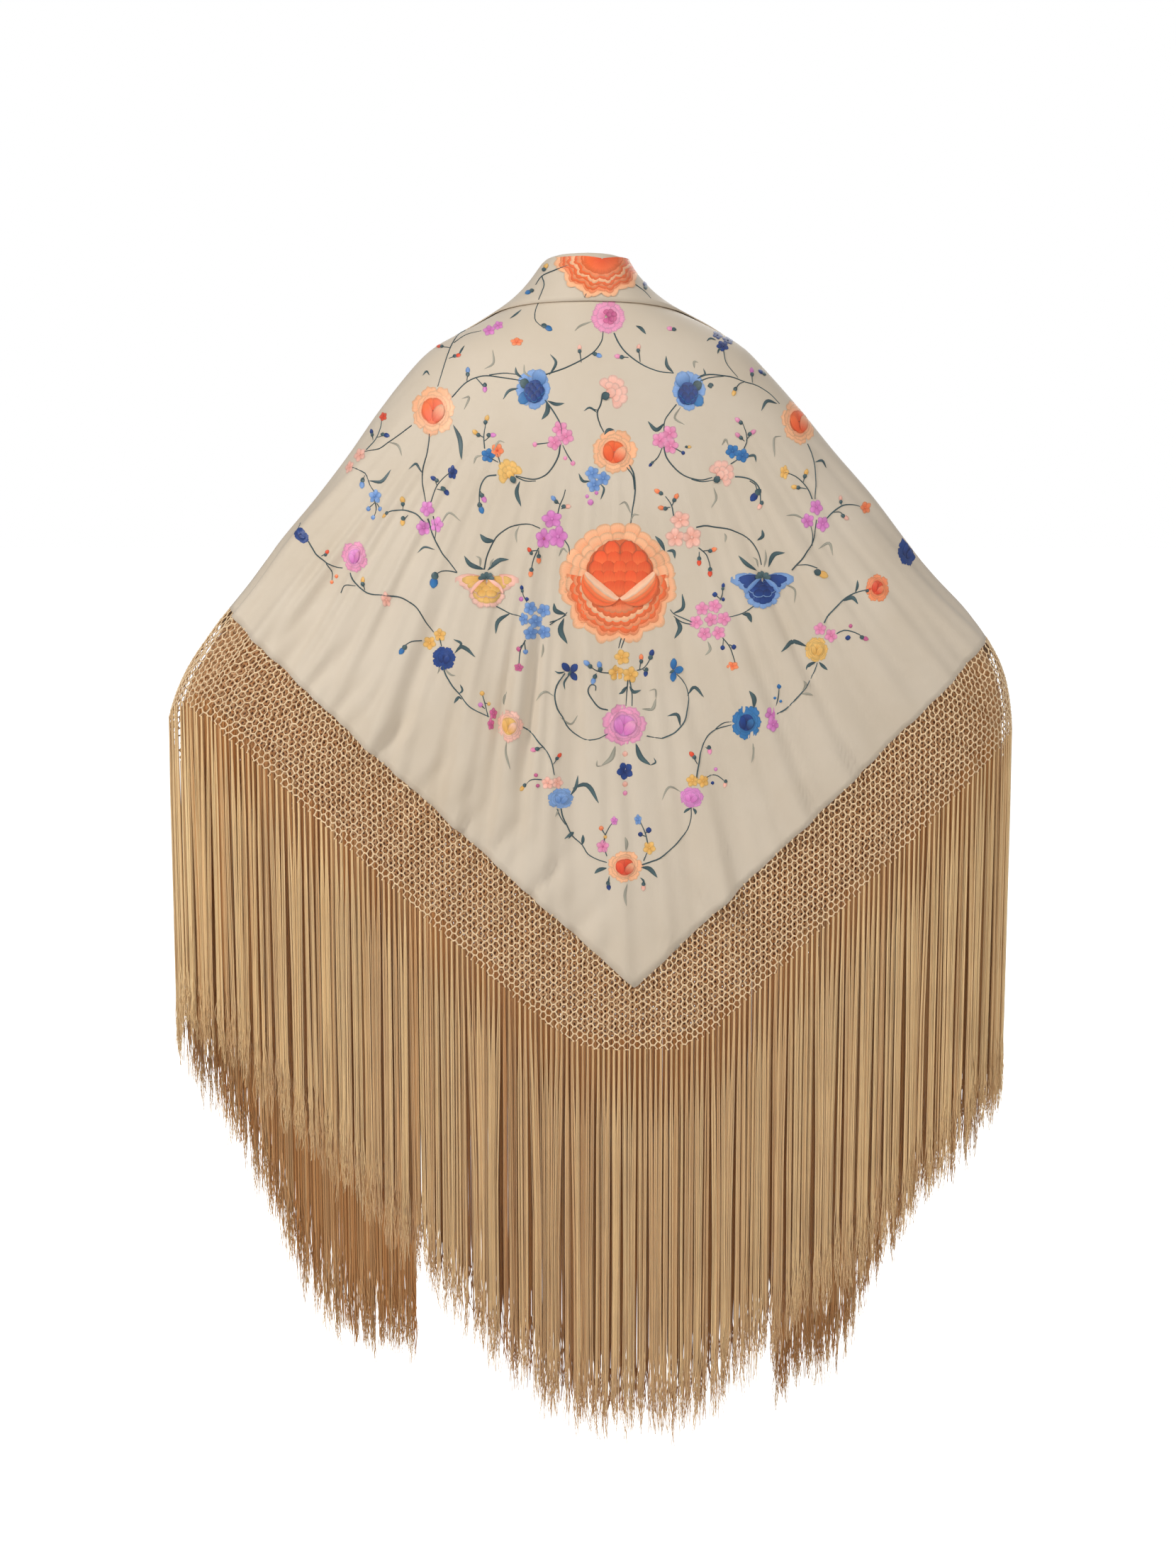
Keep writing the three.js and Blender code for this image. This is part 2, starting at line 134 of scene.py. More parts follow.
# %% [markdown]
# A place on the shawl is given by u and a height z. The value u runs from -2 at the left front
# edge, past -1 at the left arm, 0 at the spine and 1 at the right arm, to 2 at the right front
# edge. The hem and the lower line of the net are where the form meets two slanting lines.

# %% The smooth form, the hem and the net's line
def smooth_point(u, z):
    """The form without its folds, in millimetres."""
    u, z = np.broadcast_arrays(np.asarray(u, float), np.asarray(z, float))
    far = np.abs(u)
    round_front = 90 + (far - 1) * (smooth(OPENING, "z", "turn", z) - 90)
    turn = np.radians(np.where(far <= 1, 90 * far, round_front)) * np.sign(u)
    left, right, back, front = (smooth(SECTIONS, "z", name, z) for name in
                                ("left", "right", "back", "front"))
    x = np.where(u < 0, left, right) * np.sin(turn)
    y = -np.where(np.cos(turn) > 0, back, front) * np.cos(turn)
    return np.stack([x, y, z], -1)


def top_at(u):
    return smooth(TOP_LINE, "at", "z", np.abs(u))


def meeting(u, line):
    """The height at which the form at u meets a line that depends on x."""
    high = top_at(u)
    low = np.full_like(high, SECTIONS["z"][0])
    for _ in range(MEETING_STEPS):
        middle = (high + low) / 2
        above = middle > line(smooth_point(u, middle)[..., 0])
        high = np.where(above, middle, high)
        low = np.where(above, low, middle)
    return (high + low) / 2


def hem_line(x):
    slope = np.where(x < CORNER_X, HEM_SLOPE_LEFT, HEM_SLOPE_RIGHT)
    return CORNER_Z + (x - CORNER_X) * slope


def net_line(x):
    slope = np.where(x < CORNER_X, HEM_SLOPE_LEFT, HEM_SLOPE_RIGHT)
    parallel = hem_line(x) - NET_WIDTH * np.hypot(1, slope)
    corner = CORNER_Z - NET_AT_CORNER
    return (parallel + corner + np.hypot(parallel - corner, CORNER_ROUNDING)) / 2


def hem_heights(u):
    arm = meeting(np.where(u < 0, -1.0, 1.0), hem_line)
    tip = np.where(u < 0, TIP_Z_LEFT, TIP_Z_RIGHT)
    past = np.clip(np.abs(u) - 1, 0, 1)
    return np.where(np.abs(u) > 1, mix(arm, tip, past ** FRONT_HEM_POWER), meeting(u, hem_line))


def net_heights(u):
    def on_back(at):
        drop = np.where(at < 0, NET_SIDE_DROP_LEFT, 0) * np.abs(at) ** NET_SIDE_POWER
        return meeting(at, net_line) - drop

    side = np.where(u < 0, -1.0, 1.0)
    past = np.clip(np.abs(u) - 1, 0, 1)
    drop = mix(hem_heights(side) - on_back(side), NET_AT_TIP, past)
    front = hem_heights(u) - drop - NET_FRONT_EXTRA * np.sin(np.pi * past)
    return np.where(np.abs(u) > 1, front, on_back(u))


seam_width = smooth(SECTIONS, "z", "right", CORNER_Z)
CENTRE = math.asin(CORNER_X / seam_width) / (math.pi / 2)
line_u = np.sort(np.append(np.linspace(-2, 2, LINE_SAMPLES), CENTRE))
line_hem = hem_heights(line_u)
line_net = net_heights(line_u)


def hem_at(u):
    return np.interp(u, line_u, line_hem)


def net_at(u):
    return np.interp(u, line_u, line_net)


print("corner of the net at u", round(CENTRE, 3), "hem there", round(float(hem_at(CENTRE)), 1))

# %% [markdown]
# Hanging silk shows soft folds that fan out from the neck. Each is a trough with its own angle,
# width, depth and starting distance, taken one by one from how the cloth hangs. The solids hold
# the large ones; the finer ones, the gathers at the hem and a faint unevenness are added here.
# Dense stitching holds the cloth flatter round the great rose, so the folds are calmer there.

# %% The folds
FAN_X, FAN_Z = 29, 125
FOLD_RISE = 200
BACK_FOLDS = table("angle width depth start", [
    (-41, 1.5, 5, 330),
    (-35.5, 1.7, 5, 360),
    (-29.3, 1.3, 4, 420),
    (-23, 1.2, 5, 430),
    (-16.5, 1.4, 4.5, 520),
    (-12.3, 1.1, 5.5, 380),
    (-9.4, 1.1, 7, 400),
    (-4.5, 1.2, 4, 580),
    (4, 1.1, 4, 580),
    (6.9, 1.1, 5, 500),
    (11.5, 1.3, 4, 540),
    (18, 2.2, 3.5, 540),
    (27, 2.4, 3, 500),
    (38, 2.2, 3, 380),
])
FINE_FOLDS = table("angle width depth start", [
    (-44, 0.8, 2.2, 420),
    (-38, 0.8, 2.6, 480),
    (-31.8, 0.8, 2.4, 540),
    (-26, 0.8, 2.4, 540),
    (-24.5, 1.1, -2.4, 330),
    (-19.7, 0.7, 2.6, 560),
    (-14.3, 0.6, 2.2, 600),
    (-14.2, 1.2, -2.6, 260),
    (-10.9, 0.7, -2.4, 420),
    (-7, 0.7, 2.8, 560),
    (-6.4, 0.8, -2.2, 240),
    (-2, 0.6, 2.2, 680),
    (-0.4, 0.7, 2.4, 560),
    (1.6, 0.5, 2, 700),
    (9, 0.7, 2.6, 440),
    (14.5, 0.8, 1.8, 620),
    (22.5, 1, 1.6, 600),
    (32, 1, 1.6, 520),
    (41, 1.4, 2, 320),
])
FRONT_FOLDS = table("at width height start", [
    (0.16, 0.06, 11, 120),
    (0.34, 0.055, 15, 70),
    (0.52, 0.055, 13, 90),
    (0.68, 0.045, 16, 60),
    (0.84, 0.045, 12, 80),
])
FOLDS_FADE_FROM, FOLDS_FADE_TO = 0.84, 0.99
FRONT_FOLD_RISE = 260
NET_KEEPS = 0.45
RIPPLES = table("across down depth phase", [
    (0.021, 0.008, 0.8, 0.4),
    (0.034, -0.013, 0.55, 2.1),
    (0.052, 0.017, 0.4, 4.0),
    (0.013, 0.027, 0.7, 5.2),
    (0.078, 0.011, 0.22, 1.3),
])
RIPPLES_START, RIPPLES_FULL = 60, 420
FAN_WAVES = table("per_degree bend depth phase", [
    (0.42, 5, 2.8, 0.6),
    (0.78, 3, 3.2, 2.7),
    (1.35, 2, 3.0, 4.4),
    (2.3, 1.5, 2.0, 1.9),
    (3.7, 1, 1.0, 0.8),
])
FAN_START, FAN_FULL, FAN_BEND = 270, 620, 190
GATHERS = table("per_mm depth phase", [(0.1, 2.2, 0.3), (0.17, 2.2, 2.2), (0.27, 1.5, 4)])
GATHER_NEAR, GATHER_FAR, CORNER_CALM = 10, 150, 60
PATCH_ANGLE, PATCH_REACH, PATCH_CALM, PATCH_STRONG = 0.21, 165, 0.5, 1.35
SMOOTHER_FROM, SMOOTHER_TO, SMOOTHER = 2, 9, 0.55
DEEPEST = 10.5
STIFF_X, STIFF_Z, STIFF_NEAR, STIFF_FAR, STIFF = 36, -322, 55, 115, 0.72


def troughs(rows, angle, reach):
    depth = np.zeros_like(angle)
    for at, width, deep, start in zip(*rows.values()):
        depth += deep * np.exp(-((angle - at) / width) ** 2) * ease(reach, start, start + FOLD_RISE)
    return depth


def fold_at(u, z):
    """How far the folds stand out of the smooth form, or lie in it, in millimetres."""
    far = np.abs(u)
    point = smooth_point(u, z)
    across, down = point[..., 0] - FAN_X, FAN_Z - point[..., 2]
    angle, reach = np.degrees(np.arctan2(across, down)), np.hypot(across, down)
    back = -troughs(BACK_FOLDS, angle, reach) - troughs(FINE_FOLDS, angle, reach)
    fan = np.zeros_like(back)
    for per_degree, bend, depth, phase in zip(*FAN_WAVES.values()):
        fan += depth * np.sin(per_degree * (angle + bend * np.sin(reach / FAN_BEND)) + phase)
    patchy = 0.5 + 0.5 * np.sin(PATCH_ANGLE * angle + reach / PATCH_REACH)
    back += fan * ease(reach, FAN_START, FAN_FULL) * mix(PATCH_CALM, PATCH_STRONG, patchy) * mix(
        1, SMOOTHER, ease(angle, SMOOTHER_FROM, SMOOTHER_TO))
    slope = np.where(point[..., 0] < CORNER_X, HEM_SLOPE_LEFT, HEM_SLOPE_RIGHT)
    along = (point[..., 0] + slope * point[..., 2]) / np.hypot(1, slope)
    gathers = sum(depth * np.sin(per_mm * along + phase) for per_mm, depth, phase
                  in zip(*GATHERS.values()))
    gathers *= 1 - ease(point[..., 2] - hem_line(point[..., 0]), GATHER_NEAR, GATHER_FAR)
    gathers *= mix(1, SMOOTHER, ease(angle, SMOOTHER_FROM, SMOOTHER_TO))
    back += gathers * ease(np.abs(point[..., 0] - CORNER_X), 0, CORNER_CALM)
    back = DEEPEST * np.tanh(back / DEEPEST)
    back = back * (1 - ease(far, FOLDS_FADE_FROM, FOLDS_FADE_TO))
    from_rose = np.hypot(point[..., 0] - STIFF_X, point[..., 2] - STIFF_Z)
    back = back * (1 - STIFF * (1 - ease(from_rose, STIFF_NEAR, STIFF_FAR)))
    front = np.zeros_like(back)
    for at, width, height, start in zip(*FRONT_FOLDS.values()):
        shape = np.exp(-((far - 1 - at) / width) ** 2)
        front += height * shape * ease(-z, start, FRONT_FOLD_RISE + start)
    ripple = np.zeros_like(back)
    for a, d, depth, phase in zip(*RIPPLES.values()):
        ripple += depth * np.sin(a * point[..., 0] + d * point[..., 2] + phase + far * 3)
    ripple *= ease(top_at(u) - z, RIPPLES_START, RIPPLES_FULL)
    softer = mix(1, NET_KEEPS, ease(hem_at(u) - z, 0, NET_WIDTH))
    return (np.where(far > 1, front, back) + ripple) * softer


# %% The folded form and its normals
U_STEP, Z_STEP = 0.002, 1.0


def normal_of(surface, u, z):
    """The outward normal of a surface that is a function of u and z."""
    across = surface(np.minimum(u + U_STEP, 2), z) - surface(np.maximum(u - U_STEP, -2), z)
    up = surface(u, z + Z_STEP) - surface(u, z - Z_STEP)
    normal = np.cross(across, up)
    return normal / np.linalg.norm(normal, axis=-1, keepdims=True)


def folded_point(u, z):
    u, z = np.broadcast_arrays(np.asarray(u, float), np.asarray(z, float))
    return smooth_point(u, z) + normal_of(smooth_point, u, z) * fold_at(u, z)[..., None]


def outer_point(u, z, lift=0.0):
    """A place on the outer cloth, lifted off it along its normal."""
    point = folded_point(u, z)
    return point + normal_of(folded_point, u, z) * np.asarray(lift, float)[..., None]


INNER_AT_NECK, INNER_LIFT, INNER_REACH = -2.2, -13, 50
INNER_SHORTER = 15


def inner_point(u, z, lift=0.0):
    """A place on the inner half of the folded square."""
    u, z = np.broadcast_arrays(np.asarray(u, float), np.asarray(z, float))
    depth = mix(INNER_AT_NECK, INNER_LIFT, ease(top_at(u) - z, 0, INNER_REACH)) + lift
    return smooth_point(u, z) + normal_of(smooth_point, u, z) * np.asarray(depth)[..., None]


def even_columns(start, end, spacing, height):
    """Values of u that are an even walk apart round the form, at heights given for each u."""
    fine = np.linspace(start, end, LINE_SAMPLES)
    path = smooth_point(fine, height(fine))[:, :2]
    run = np.append(0, np.cumsum(np.linalg.norm(np.diff(path, axis=0), axis=1)))
    count = max(2, round(run[-1] / spacing))
    return np.interp(np.linspace(0, run[-1], count + 1), run, fine)


print("depth of the folds at the spine's hem", round(float(fold_at(0.0, -780.0)), 1), "mm")

# %% [markdown]
# The camera comes first, so that every piece can be judged through it. It stands where the
# photographer stood: 2.75 m behind the shawl, near the shoulders' height, tipped down 8.6
# degrees, with a normal lens. A pale floor lies just under the fringe. The strongest light stands
# on the left, where it grazes the folds, and a weaker one on the right. A faint one by the camera
# fills the shadows, and a fourth lights the open front from the far side.

# %% Camera, floor and lights
CAMERA_DISTANCE, CAMERA_HEIGHT = 2.75, -0.17
CAMERA_TIP = math.radians(8.6)
FLOOR_Z = -1.56
FLOOR_SIZE = 60

camera = bpy.data.objects.new("camera", bpy.data.cameras.new("camera"))
camera.data.lens = 50
camera.data.sensor_width = 36
camera.location = (0, -CAMERA_DISTANCE, CAMERA_HEIGHT)
camera.rotation_euler = (math.pi / 2 - CAMERA_TIP, 0, 0)
bpy.context.scene.collection.objects.link(camera)
bpy.context.scene.camera = camera
bpy.context.scene.view_settings.view_transform = "Standard"


def area_light(name, place, aim, size, power, colour):
    lamp = bpy.data.lights.new(name, "AREA")
    lamp.shape = "DISK"
    lamp.size = size
    lamp.energy = power
    lamp.color = colour
    holder = bpy.data.objects.new(name, lamp)
    holder.location = place
    direction = np.array(aim) - np.array(place)
    holder.rotation_euler = (
        math.atan2(math.hypot(direction[0], direction[1]), -direction[2]),
        0,
        math.atan2(direction[1], direction[0]) - math.pi / 2,
    )
    bpy.context.scene.collection.objects.link(holder)
    return holder


AIM = (0, 0, -0.6)
area_light("key light", (-2.7, -2.3, 1.7), AIM, 0.8, 86, (1, 0.985, 0.96))
area_light("right light", (2.4, -2.0, 2.4), AIM, 1.4, 50, (1, 0.985, 0.96))
area_light("fill light", (0.3, -3.4, -0.3), AIM, 2.2, 16, (1, 0.99, 0.97))
area_light("front light", (0.6, 3.2, 1.2), AIM, 2.4, 40, (1, 0.99, 0.97))

WORLD_LIGHT = 0.2
world = bpy.data.worlds.new("studio")
world.use_nodes = True
world_tree = world.node_tree
seen_directly = world_tree.nodes.new("ShaderNodeLightPath")
world_power = world_tree.nodes.new("ShaderNodeMapRange")
world_power.inputs["To Min"].default_value = WORLD_LIGHT
world_power.inputs["To Max"].default_value = 1.0
backdrop = world_tree.nodes["Background"]
backdrop.inputs["Color"].default_value = (1, 1, 1, 1)
world_tree.links.new(seen_directly.outputs["Is Camera Ray"], world_power.inputs["Value"])
world_tree.links.new(world_power.outputs["Result"], backdrop.inputs["Strength"])
bpy.context.scene.world = world

# %% [markdown]
# Three finishes cover the shawl: ivory crepe, golden silk yarn and floss silk in many colours.
# Painted pictures of them would be heavy, so each is a small set of nodes. Each has a thread relief of
# its own, and the crepe and the yarn share a group for a slow drift of tone, as in any cloth that has
# been dyed and washed.

# %% Node helpers
def new_group(name, inputs, outputs):
    """A shader node group with named inputs and outputs, each (name, socket type, default)."""
    tree = bpy.data.node_groups.new(name, "ShaderNodeTree")
    for label, kind, default in inputs:
        socket = tree.interface.new_socket(label, in_out="INPUT", socket_type=kind)
        if default is not None:
            socket.default_value = default
    for label, kind in outputs:
        tree.interface.new_socket(label, in_out="OUTPUT", socket_type=kind)
    return tree, tree.nodes.new("NodeGroupInput"), tree.nodes.new("NodeGroupOutput")


def node(tree, kind, **settings):
    """A new node; each setting is one of its properties where it has one, or else an input."""
    made = tree.nodes.new(kind)
    for key, value in settings.items():
        if hasattr(made, key):
            setattr(made, key, value)
        else:
            made.inputs[key.replace("_", " ")].default_value = value
    return made


def blend_colours(tree, share, first, second):
    """A mix of two colours; share, first and second are sockets or plain values."""
    made = tree.nodes.new("ShaderNodeMix")
    made.data_type = "RGBA"
    for index, value in ((0, share), (6, first), (7, second)):
        if isinstance(value, bpy.types.NodeSocket):
            tree.links.new(value, made.inputs[index])
        else:
            made.inputs[index].default_value = value
    return made.outputs[2]


def srgb(red, green, blue):
    """A colour given as it looks on a screen, from 0 to 255, as Blender's linear one."""
    return tuple(((c / 255 + 0.055) / 1.055) ** 2.4 for c in (red, green, blue)) + (1.0,)


# %% The floor
floor_bm = bmesh.new()
bmesh.ops.create_grid(floor_bm, x_segments=1, y_segments=1, size=FLOOR_SIZE / 2)
bmesh.ops.translate(floor_bm, verts=floor_bm.verts, vec=(0, 0, FLOOR_Z))
floor_mesh = bpy.data.meshes.new("floor")
floor_bm.to_mesh(floor_mesh)
floor_bm.free()
floor = bpy.data.objects.new("floor", floor_mesh)
bpy.context.scene.collection.objects.link(floor)
floor_paint = bpy.data.materials.new("pale floor")
floor_paint.use_nodes = True
floor_shader = floor_paint.node_tree.nodes["Principled BSDF"]
floor_shader.inputs["Base Color"].default_value = (0.9, 0.9, 0.9, 1)
floor_shader.inputs["Roughness"].default_value = 0.9
floor_shader.inputs["Emission Strength"].default_value = 1.0
floor_tree = floor_paint.node_tree
floor_seen = floor_tree.nodes.new("ShaderNodeLightPath")
floor_glow = blend_colours(floor_tree, floor_seen.outputs["Is Camera Ray"], (0, 0, 0, 1), (1, 1, 1, 1))
floor_tree.links.new(floor_glow, floor_shader.inputs["Emission Color"])
floor_mesh.materials.append(floor_paint)

# %% A group for the drift of tone
drift, drift_in, drift_out = new_group(
    "tone drift",
    [("Colour", "NodeSocketColor", (1, 1, 1, 1)), ("Darker", "NodeSocketColor", (0, 0, 0, 1)),
     ("Amount", "NodeSocketFloat", 0.5), ("Scale", "NodeSocketFloat", 4.0)],
    [("Colour", "NodeSocketColor"), ("Mask", "NodeSocketFloat")],
)
drift_place = node(drift, "ShaderNodeTexCoord")
drift_noise = node(drift, "ShaderNodeTexNoise", Detail=5.0, Roughness=0.6)
drift_range = node(drift, "ShaderNodeMapRange", From_Min=0.38, From_Max=0.72)
drift_amount = node(drift, "ShaderNodeMath", operation="MULTIPLY")
drift.links.new(drift_place.outputs["Object"], drift_noise.inputs["Vector"])
drift.links.new(drift_in.outputs["Scale"], drift_noise.inputs["Scale"])
drift.links.new(drift_noise.outputs["Fac"], drift_range.inputs["Value"])
drift.links.new(drift_range.outputs["Result"], drift_amount.inputs[0])
drift.links.new(drift_in.outputs["Amount"], drift_amount.inputs[1])
drift_colour = blend_colours(drift, drift_amount.outputs[0], drift_in.outputs["Colour"],
                             drift_in.outputs["Darker"])
drift.links.new(drift_colour, drift_out.inputs["Colour"])
drift.links.new(drift_amount.outputs[0], drift_out.inputs["Mask"])

# %% The ivory silk crepe
# Crepe has over-twisted threads, so its surface is a fine pebble and its sheen is soft.
CREPE_SCALE = 1100
silk = bpy.data.materials.new("ivory silk crepe")
silk.use_nodes = True
tree = silk.node_tree
shader = tree.nodes["Principled BSDF"]
shader.inputs["Roughness"].default_value = 0.62
shader.inputs["Sheen Weight"].default_value = 0.25
shader.inputs["Sheen Roughness"].default_value = 0.45
shader.inputs["Specular IOR Level"].default_value = 0.35
tone = node(tree, "ShaderNodeGroup", node_tree=drift)
tone.inputs["Colour"].default_value = srgb(220, 206, 187)
tone.inputs["Darker"].default_value = srgb(207, 190, 166)
tone.inputs["Amount"].default_value = 0.55
tone.inputs["Scale"].default_value = 5.5
place = node(tree, "ShaderNodeTexCoord")
pebble = node(tree, "ShaderNodeTexNoise", Scale=CREPE_SCALE, Detail=2.0)
crepe_bump = node(tree, "ShaderNodeBump", Strength=0.22, Distance=0.0004)
tree.links.new(place.outputs["Object"], pebble.inputs["Vector"])
tree.links.new(pebble.outputs["Fac"], crepe_bump.inputs["Height"])
tree.links.new(crepe_bump.outputs["Normal"], shader.inputs["Normal"])
tree.links.new(tone.outputs["Colour"], shader.inputs["Base Color"])


# %% The golden silk yarn of the net and the fringe
# Each cord and strand carries its own shade from 0 to 1 as an attribute, so that no two are alike; the
# same attribute also carries painted shade, set where the net and the fringe are built.
def yarn_material(name, dark, light, roughness, twist_scale):
    made = bpy.data.materials.new(name)
    made.use_nodes = True
    tree = made.node_tree
    shader = tree.nodes["Principled BSDF"]
    shader.inputs["Sheen Weight"].default_value = 0.2
    shader.inputs["Specular IOR Level"].default_value = 0.45
    shade = node(tree, "ShaderNodeAttribute", attribute_name="shade")
    colour = blend_colours(tree, shade.outputs["Fac"], srgb(*dark), srgb(*light))
    tone = node(tree, "ShaderNodeGroup", node_tree=drift)
    tone.inputs["Darker"].default_value = srgb(*(0.82 * c for c in dark))
    tone.inputs["Amount"].default_value = 0.14
    tone.inputs["Scale"].default_value = 14
    place = node(tree, "ShaderNodeTexCoord")
    twist = node(tree, "ShaderNodeTexNoise", Scale=twist_scale, Detail=2.0)
    bump = node(tree, "ShaderNodeBump", Strength=0.5, Distance=0.0003)
    gloss = node(tree, "ShaderNodeMapRange", To_Min=roughness - 0.08, To_Max=roughness + 0.1)
    tree.links.new(colour, tone.inputs["Colour"])
    tree.links.new(tone.outputs["Colour"], shader.inputs["Base Color"])
    tree.links.new(place.outputs["Object"], twist.inputs["Vector"])
    tree.links.new(twist.outputs["Fac"], bump.inputs["Height"])
    tree.links.new(twist.outputs["Fac"], gloss.inputs["Value"])
    tree.links.new(gloss.outputs["Result"], shader.inputs["Roughness"])
    tree.links.new(bump.outputs["Normal"], shader.inputs["Normal"])
    return made


net_yarn = yarn_material("knotted silk cord", (190, 132, 76), (255, 228, 186), 0.55, 900)
fringe_yarn = yarn_material("fringe silk yarn", (204, 144, 84), (255, 222, 168), 0.45, 700)
print("materials", [m.name for m in bpy.data.materials])

# %% [markdown]
# The cloth is one sheet across the back and both fronts, as on the real shawl, though the part
# has three panels. A grid from bmesh is laid on the form point by point, and a Solidify modifier
# gives it a thin wall. Its columns are an even walk apart, so that no fold is skipped.

# %% Sheets of cloth
CLOTH_COLUMN, CLOTH_ROWS, ROW_POWER = 4.4, 74, 1.25
INNER_COLUMN, INNER_ROWS = 13, 40
CLOTH_WALL = 0.0007


def sheet_of_cloth(name, across, rows, place, material, wall=CLOTH_WALL):
    """A grid with a column for each value of u, laid on the form by place(u, share from hem)."""
    count = len(across) - 1
    bm = bmesh.new()
    bm.loops.layers.uv.new("cloth")
    bmesh.ops.create_grid(bm, x_segments=count, y_segments=rows, size=0.5, calc_uvs=True)
    mesh = bpy.data.meshes.new(name)
    bm.to_mesh(mesh)
    bm.free()
    flat = np.empty(len(mesh.vertices) * 3)
    mesh.vertices.foreach_get("co", flat)
    flat = flat.reshape(-1, 3) + 0.5
    u = across[np.rint(flat[:, 0] * count).astype(int)]
    points = place(u, flat[:, 1]) * MM
    mesh.vertices.foreach_set("co", points.ravel())
    mesh.polygons.foreach_set("use_smooth", np.ones(len(mesh.polygons), bool))
    mesh.materials.append(material)
    piece = bpy.data.objects.new(name, mesh)
    bpy.context.scene.collection.objects.link(piece)
    thin = piece.modifiers.new("wall", "SOLIDIFY")
    thin.thickness = wall
    thin.offset = 0
    mesh.update()
    return piece


def sheet_area(piece):
    return sum(face.area for face in piece.data.polygons)


def on_outer(u, share):
    z = mix(hem_at(u), top_at(u), 1 - (1 - share) ** ROW_POWER)
    return folded_point(u, z)


def on_inner(u, share):
    z = mix(hem_at(u) + INNER_SHORTER, top_at(u), share)
    return inner_point(u, z)


SPACING_LEVEL = -520
outer_columns = even_columns(-2, 2, CLOTH_COLUMN, lambda u: u * 0 + SPACING_LEVEL)
outer_cloth = sheet_of_cloth("outer_cloth", outer_columns, CLOTH_ROWS, on_outer, silk)
inner_columns = even_columns(-2, 2, INNER_COLUMN, lambda u: u * 0 + SPACING_LEVEL)
inner_cloth = sheet_of_cloth("inner_cloth", inner_columns, INNER_ROWS, on_inner, silk)
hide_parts("back_panel", "front_left_panel", "front_right_panel")
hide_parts("inner_back_panel", "inner_front_left_panel", "inner_front_right_panel")
print("outer cloth", round(sheet_area(outer_cloth), 3), "m2, inner", round(sheet_area(inner_cloth), 3))

# %% [markdown]
# The collar is the folded edge of the square, turned down over the outside. It starts with a
# small roll at the crease and then lies on the cloth as a flap, high at the nape and long down
# the two fronts. Eight rows of points carry the roll and the flap, and a Subdivision Surface
# modifier rounds them before the wall is added.

# %% The turned collar
COLLAR = table("crease edge z", [
    (0, 0, 11),
    (0.4, 0.42, 9),
    (0.8, 0.8, 3),
    (1, 0.98, -4),
    (1.4, 1.2, -32),
    (2, 1.45, -88),
    (2.4, 1.66, -155),
    (2.8, 1.88, -228),
    (3, 1.965, -268),
])
COLLAR_REACH, COLLAR_END, COLLAR_COLUMNS = 250, 3, 150
COLLAR_STEP = COLLAR_END / 36
COLLAR_ROLL = table("past out", [(3.3, -3.4), (3.9, -0.8), (3.6, 3), (1.4, 5.9)])
COLLAR_LIFTS = np.array([5.8, 4.9, 3.6, 2.3])
COLLAR_WALL = 0.0014


def crease_at(c):
    far = np.abs(c)
    u = np.where(far <= 2, c, 2 * np.sign(c))
    z = np.where(far <= 2, top_at(np.minimum(far, 2)), top_at(2.0) - (far - 2) * COLLAR_REACH)
    return u, z


def collar_edge(c):
    far = np.abs(c)
    return np.sign(c) * smooth(COLLAR, "crease", "edge", far), smooth(COLLAR, "crease", "z", far)


def unit(vectors):
    return vectors / np.linalg.norm(vectors, axis=-1, keepdims=True)


def collar_rows(c):
    """The rows of points of the collar, from inside the roll to its free edge."""
    u, z = crease_at(c)
    start = folded_point(u, z)
    out = normal_of(folded_point, u, z)
    after = folded_point(*crease_at(np.minimum(c + COLLAR_STEP, COLLAR_END)))
    before = folded_point(*crease_at(np.maximum(c - COLLAR_STEP, -COLLAR_END)))
    past = unit(np.cross(out, unit(after - before)))
    edge_u, edge_z = collar_edge(c)
    rows = [start + past * a + out * b for a, b in zip(*COLLAR_ROLL.values())]
    for k, lift in enumerate(COLLAR_LIFTS):
        share = (k + 1) / len(COLLAR_LIFTS)
        rows.append(outer_point(mix(u, edge_u, share), mix(z, edge_z, share), np.full(len(c), lift)))
    return np.array(rows)


def on_collar(c, share):
    rows = collar_rows(collar_columns)
    column = np.searchsorted(collar_columns, c)
    return rows[np.rint((1 - share) * (len(rows) - 1)).astype(int), column]


collar_columns = np.linspace(-COLLAR_END, COLLAR_END, COLLAR_COLUMNS + 1)
collar = sheet_of_cloth("turned_collar_cloth", collar_columns, 7, on_collar, silk, COLLAR_WALL)
rounding = collar.modifiers.new("rounding", "SUBSURF")
rounding.levels = rounding.render_levels = 1
collar.modifiers.move(1, 0)
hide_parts("turned_collar")
print("collar", round(sheet_area(collar), 3), "m2")

# %% [markdown]
# Net and fringe are thousands of thin cords. Curves would be slow, so one open tube is extruded
# from a ring with bmesh, and copies of it are bent along many centre lines at once. The copies
# of a piece are joined in one mesh, and each keeps a shade of its own.

# %% Tubes along many lines
def tube_template(sides, steps):
    """An open tube of radius 1 with one ring of points at each whole height."""
    bm = bmesh.new()
    bmesh.ops.create_circle(bm, segments=sides, radius=1)
    ring = bm.edges[:]
    for level in range(steps):
        made = bmesh.ops.extrude_edge_only(bm, edges=ring)["geom"]
        points = [part for part in made if isinstance(part, bmesh.types.BMVert)]
        bmesh.ops.translate(bm, verts=points, vec=(0, 0, 1))
        ring = [e for e in bm.edges if all(v.co.z > level + 0.5 for v in e.verts)]
    bmesh.ops.recalc_face_normals(bm, faces=bm.faces)
    points = np.array([v.co for v in bm.verts])
    faces = np.array([[v.index for v in f.verts] for f in bm.faces])
    bm.free()
    return points, faces


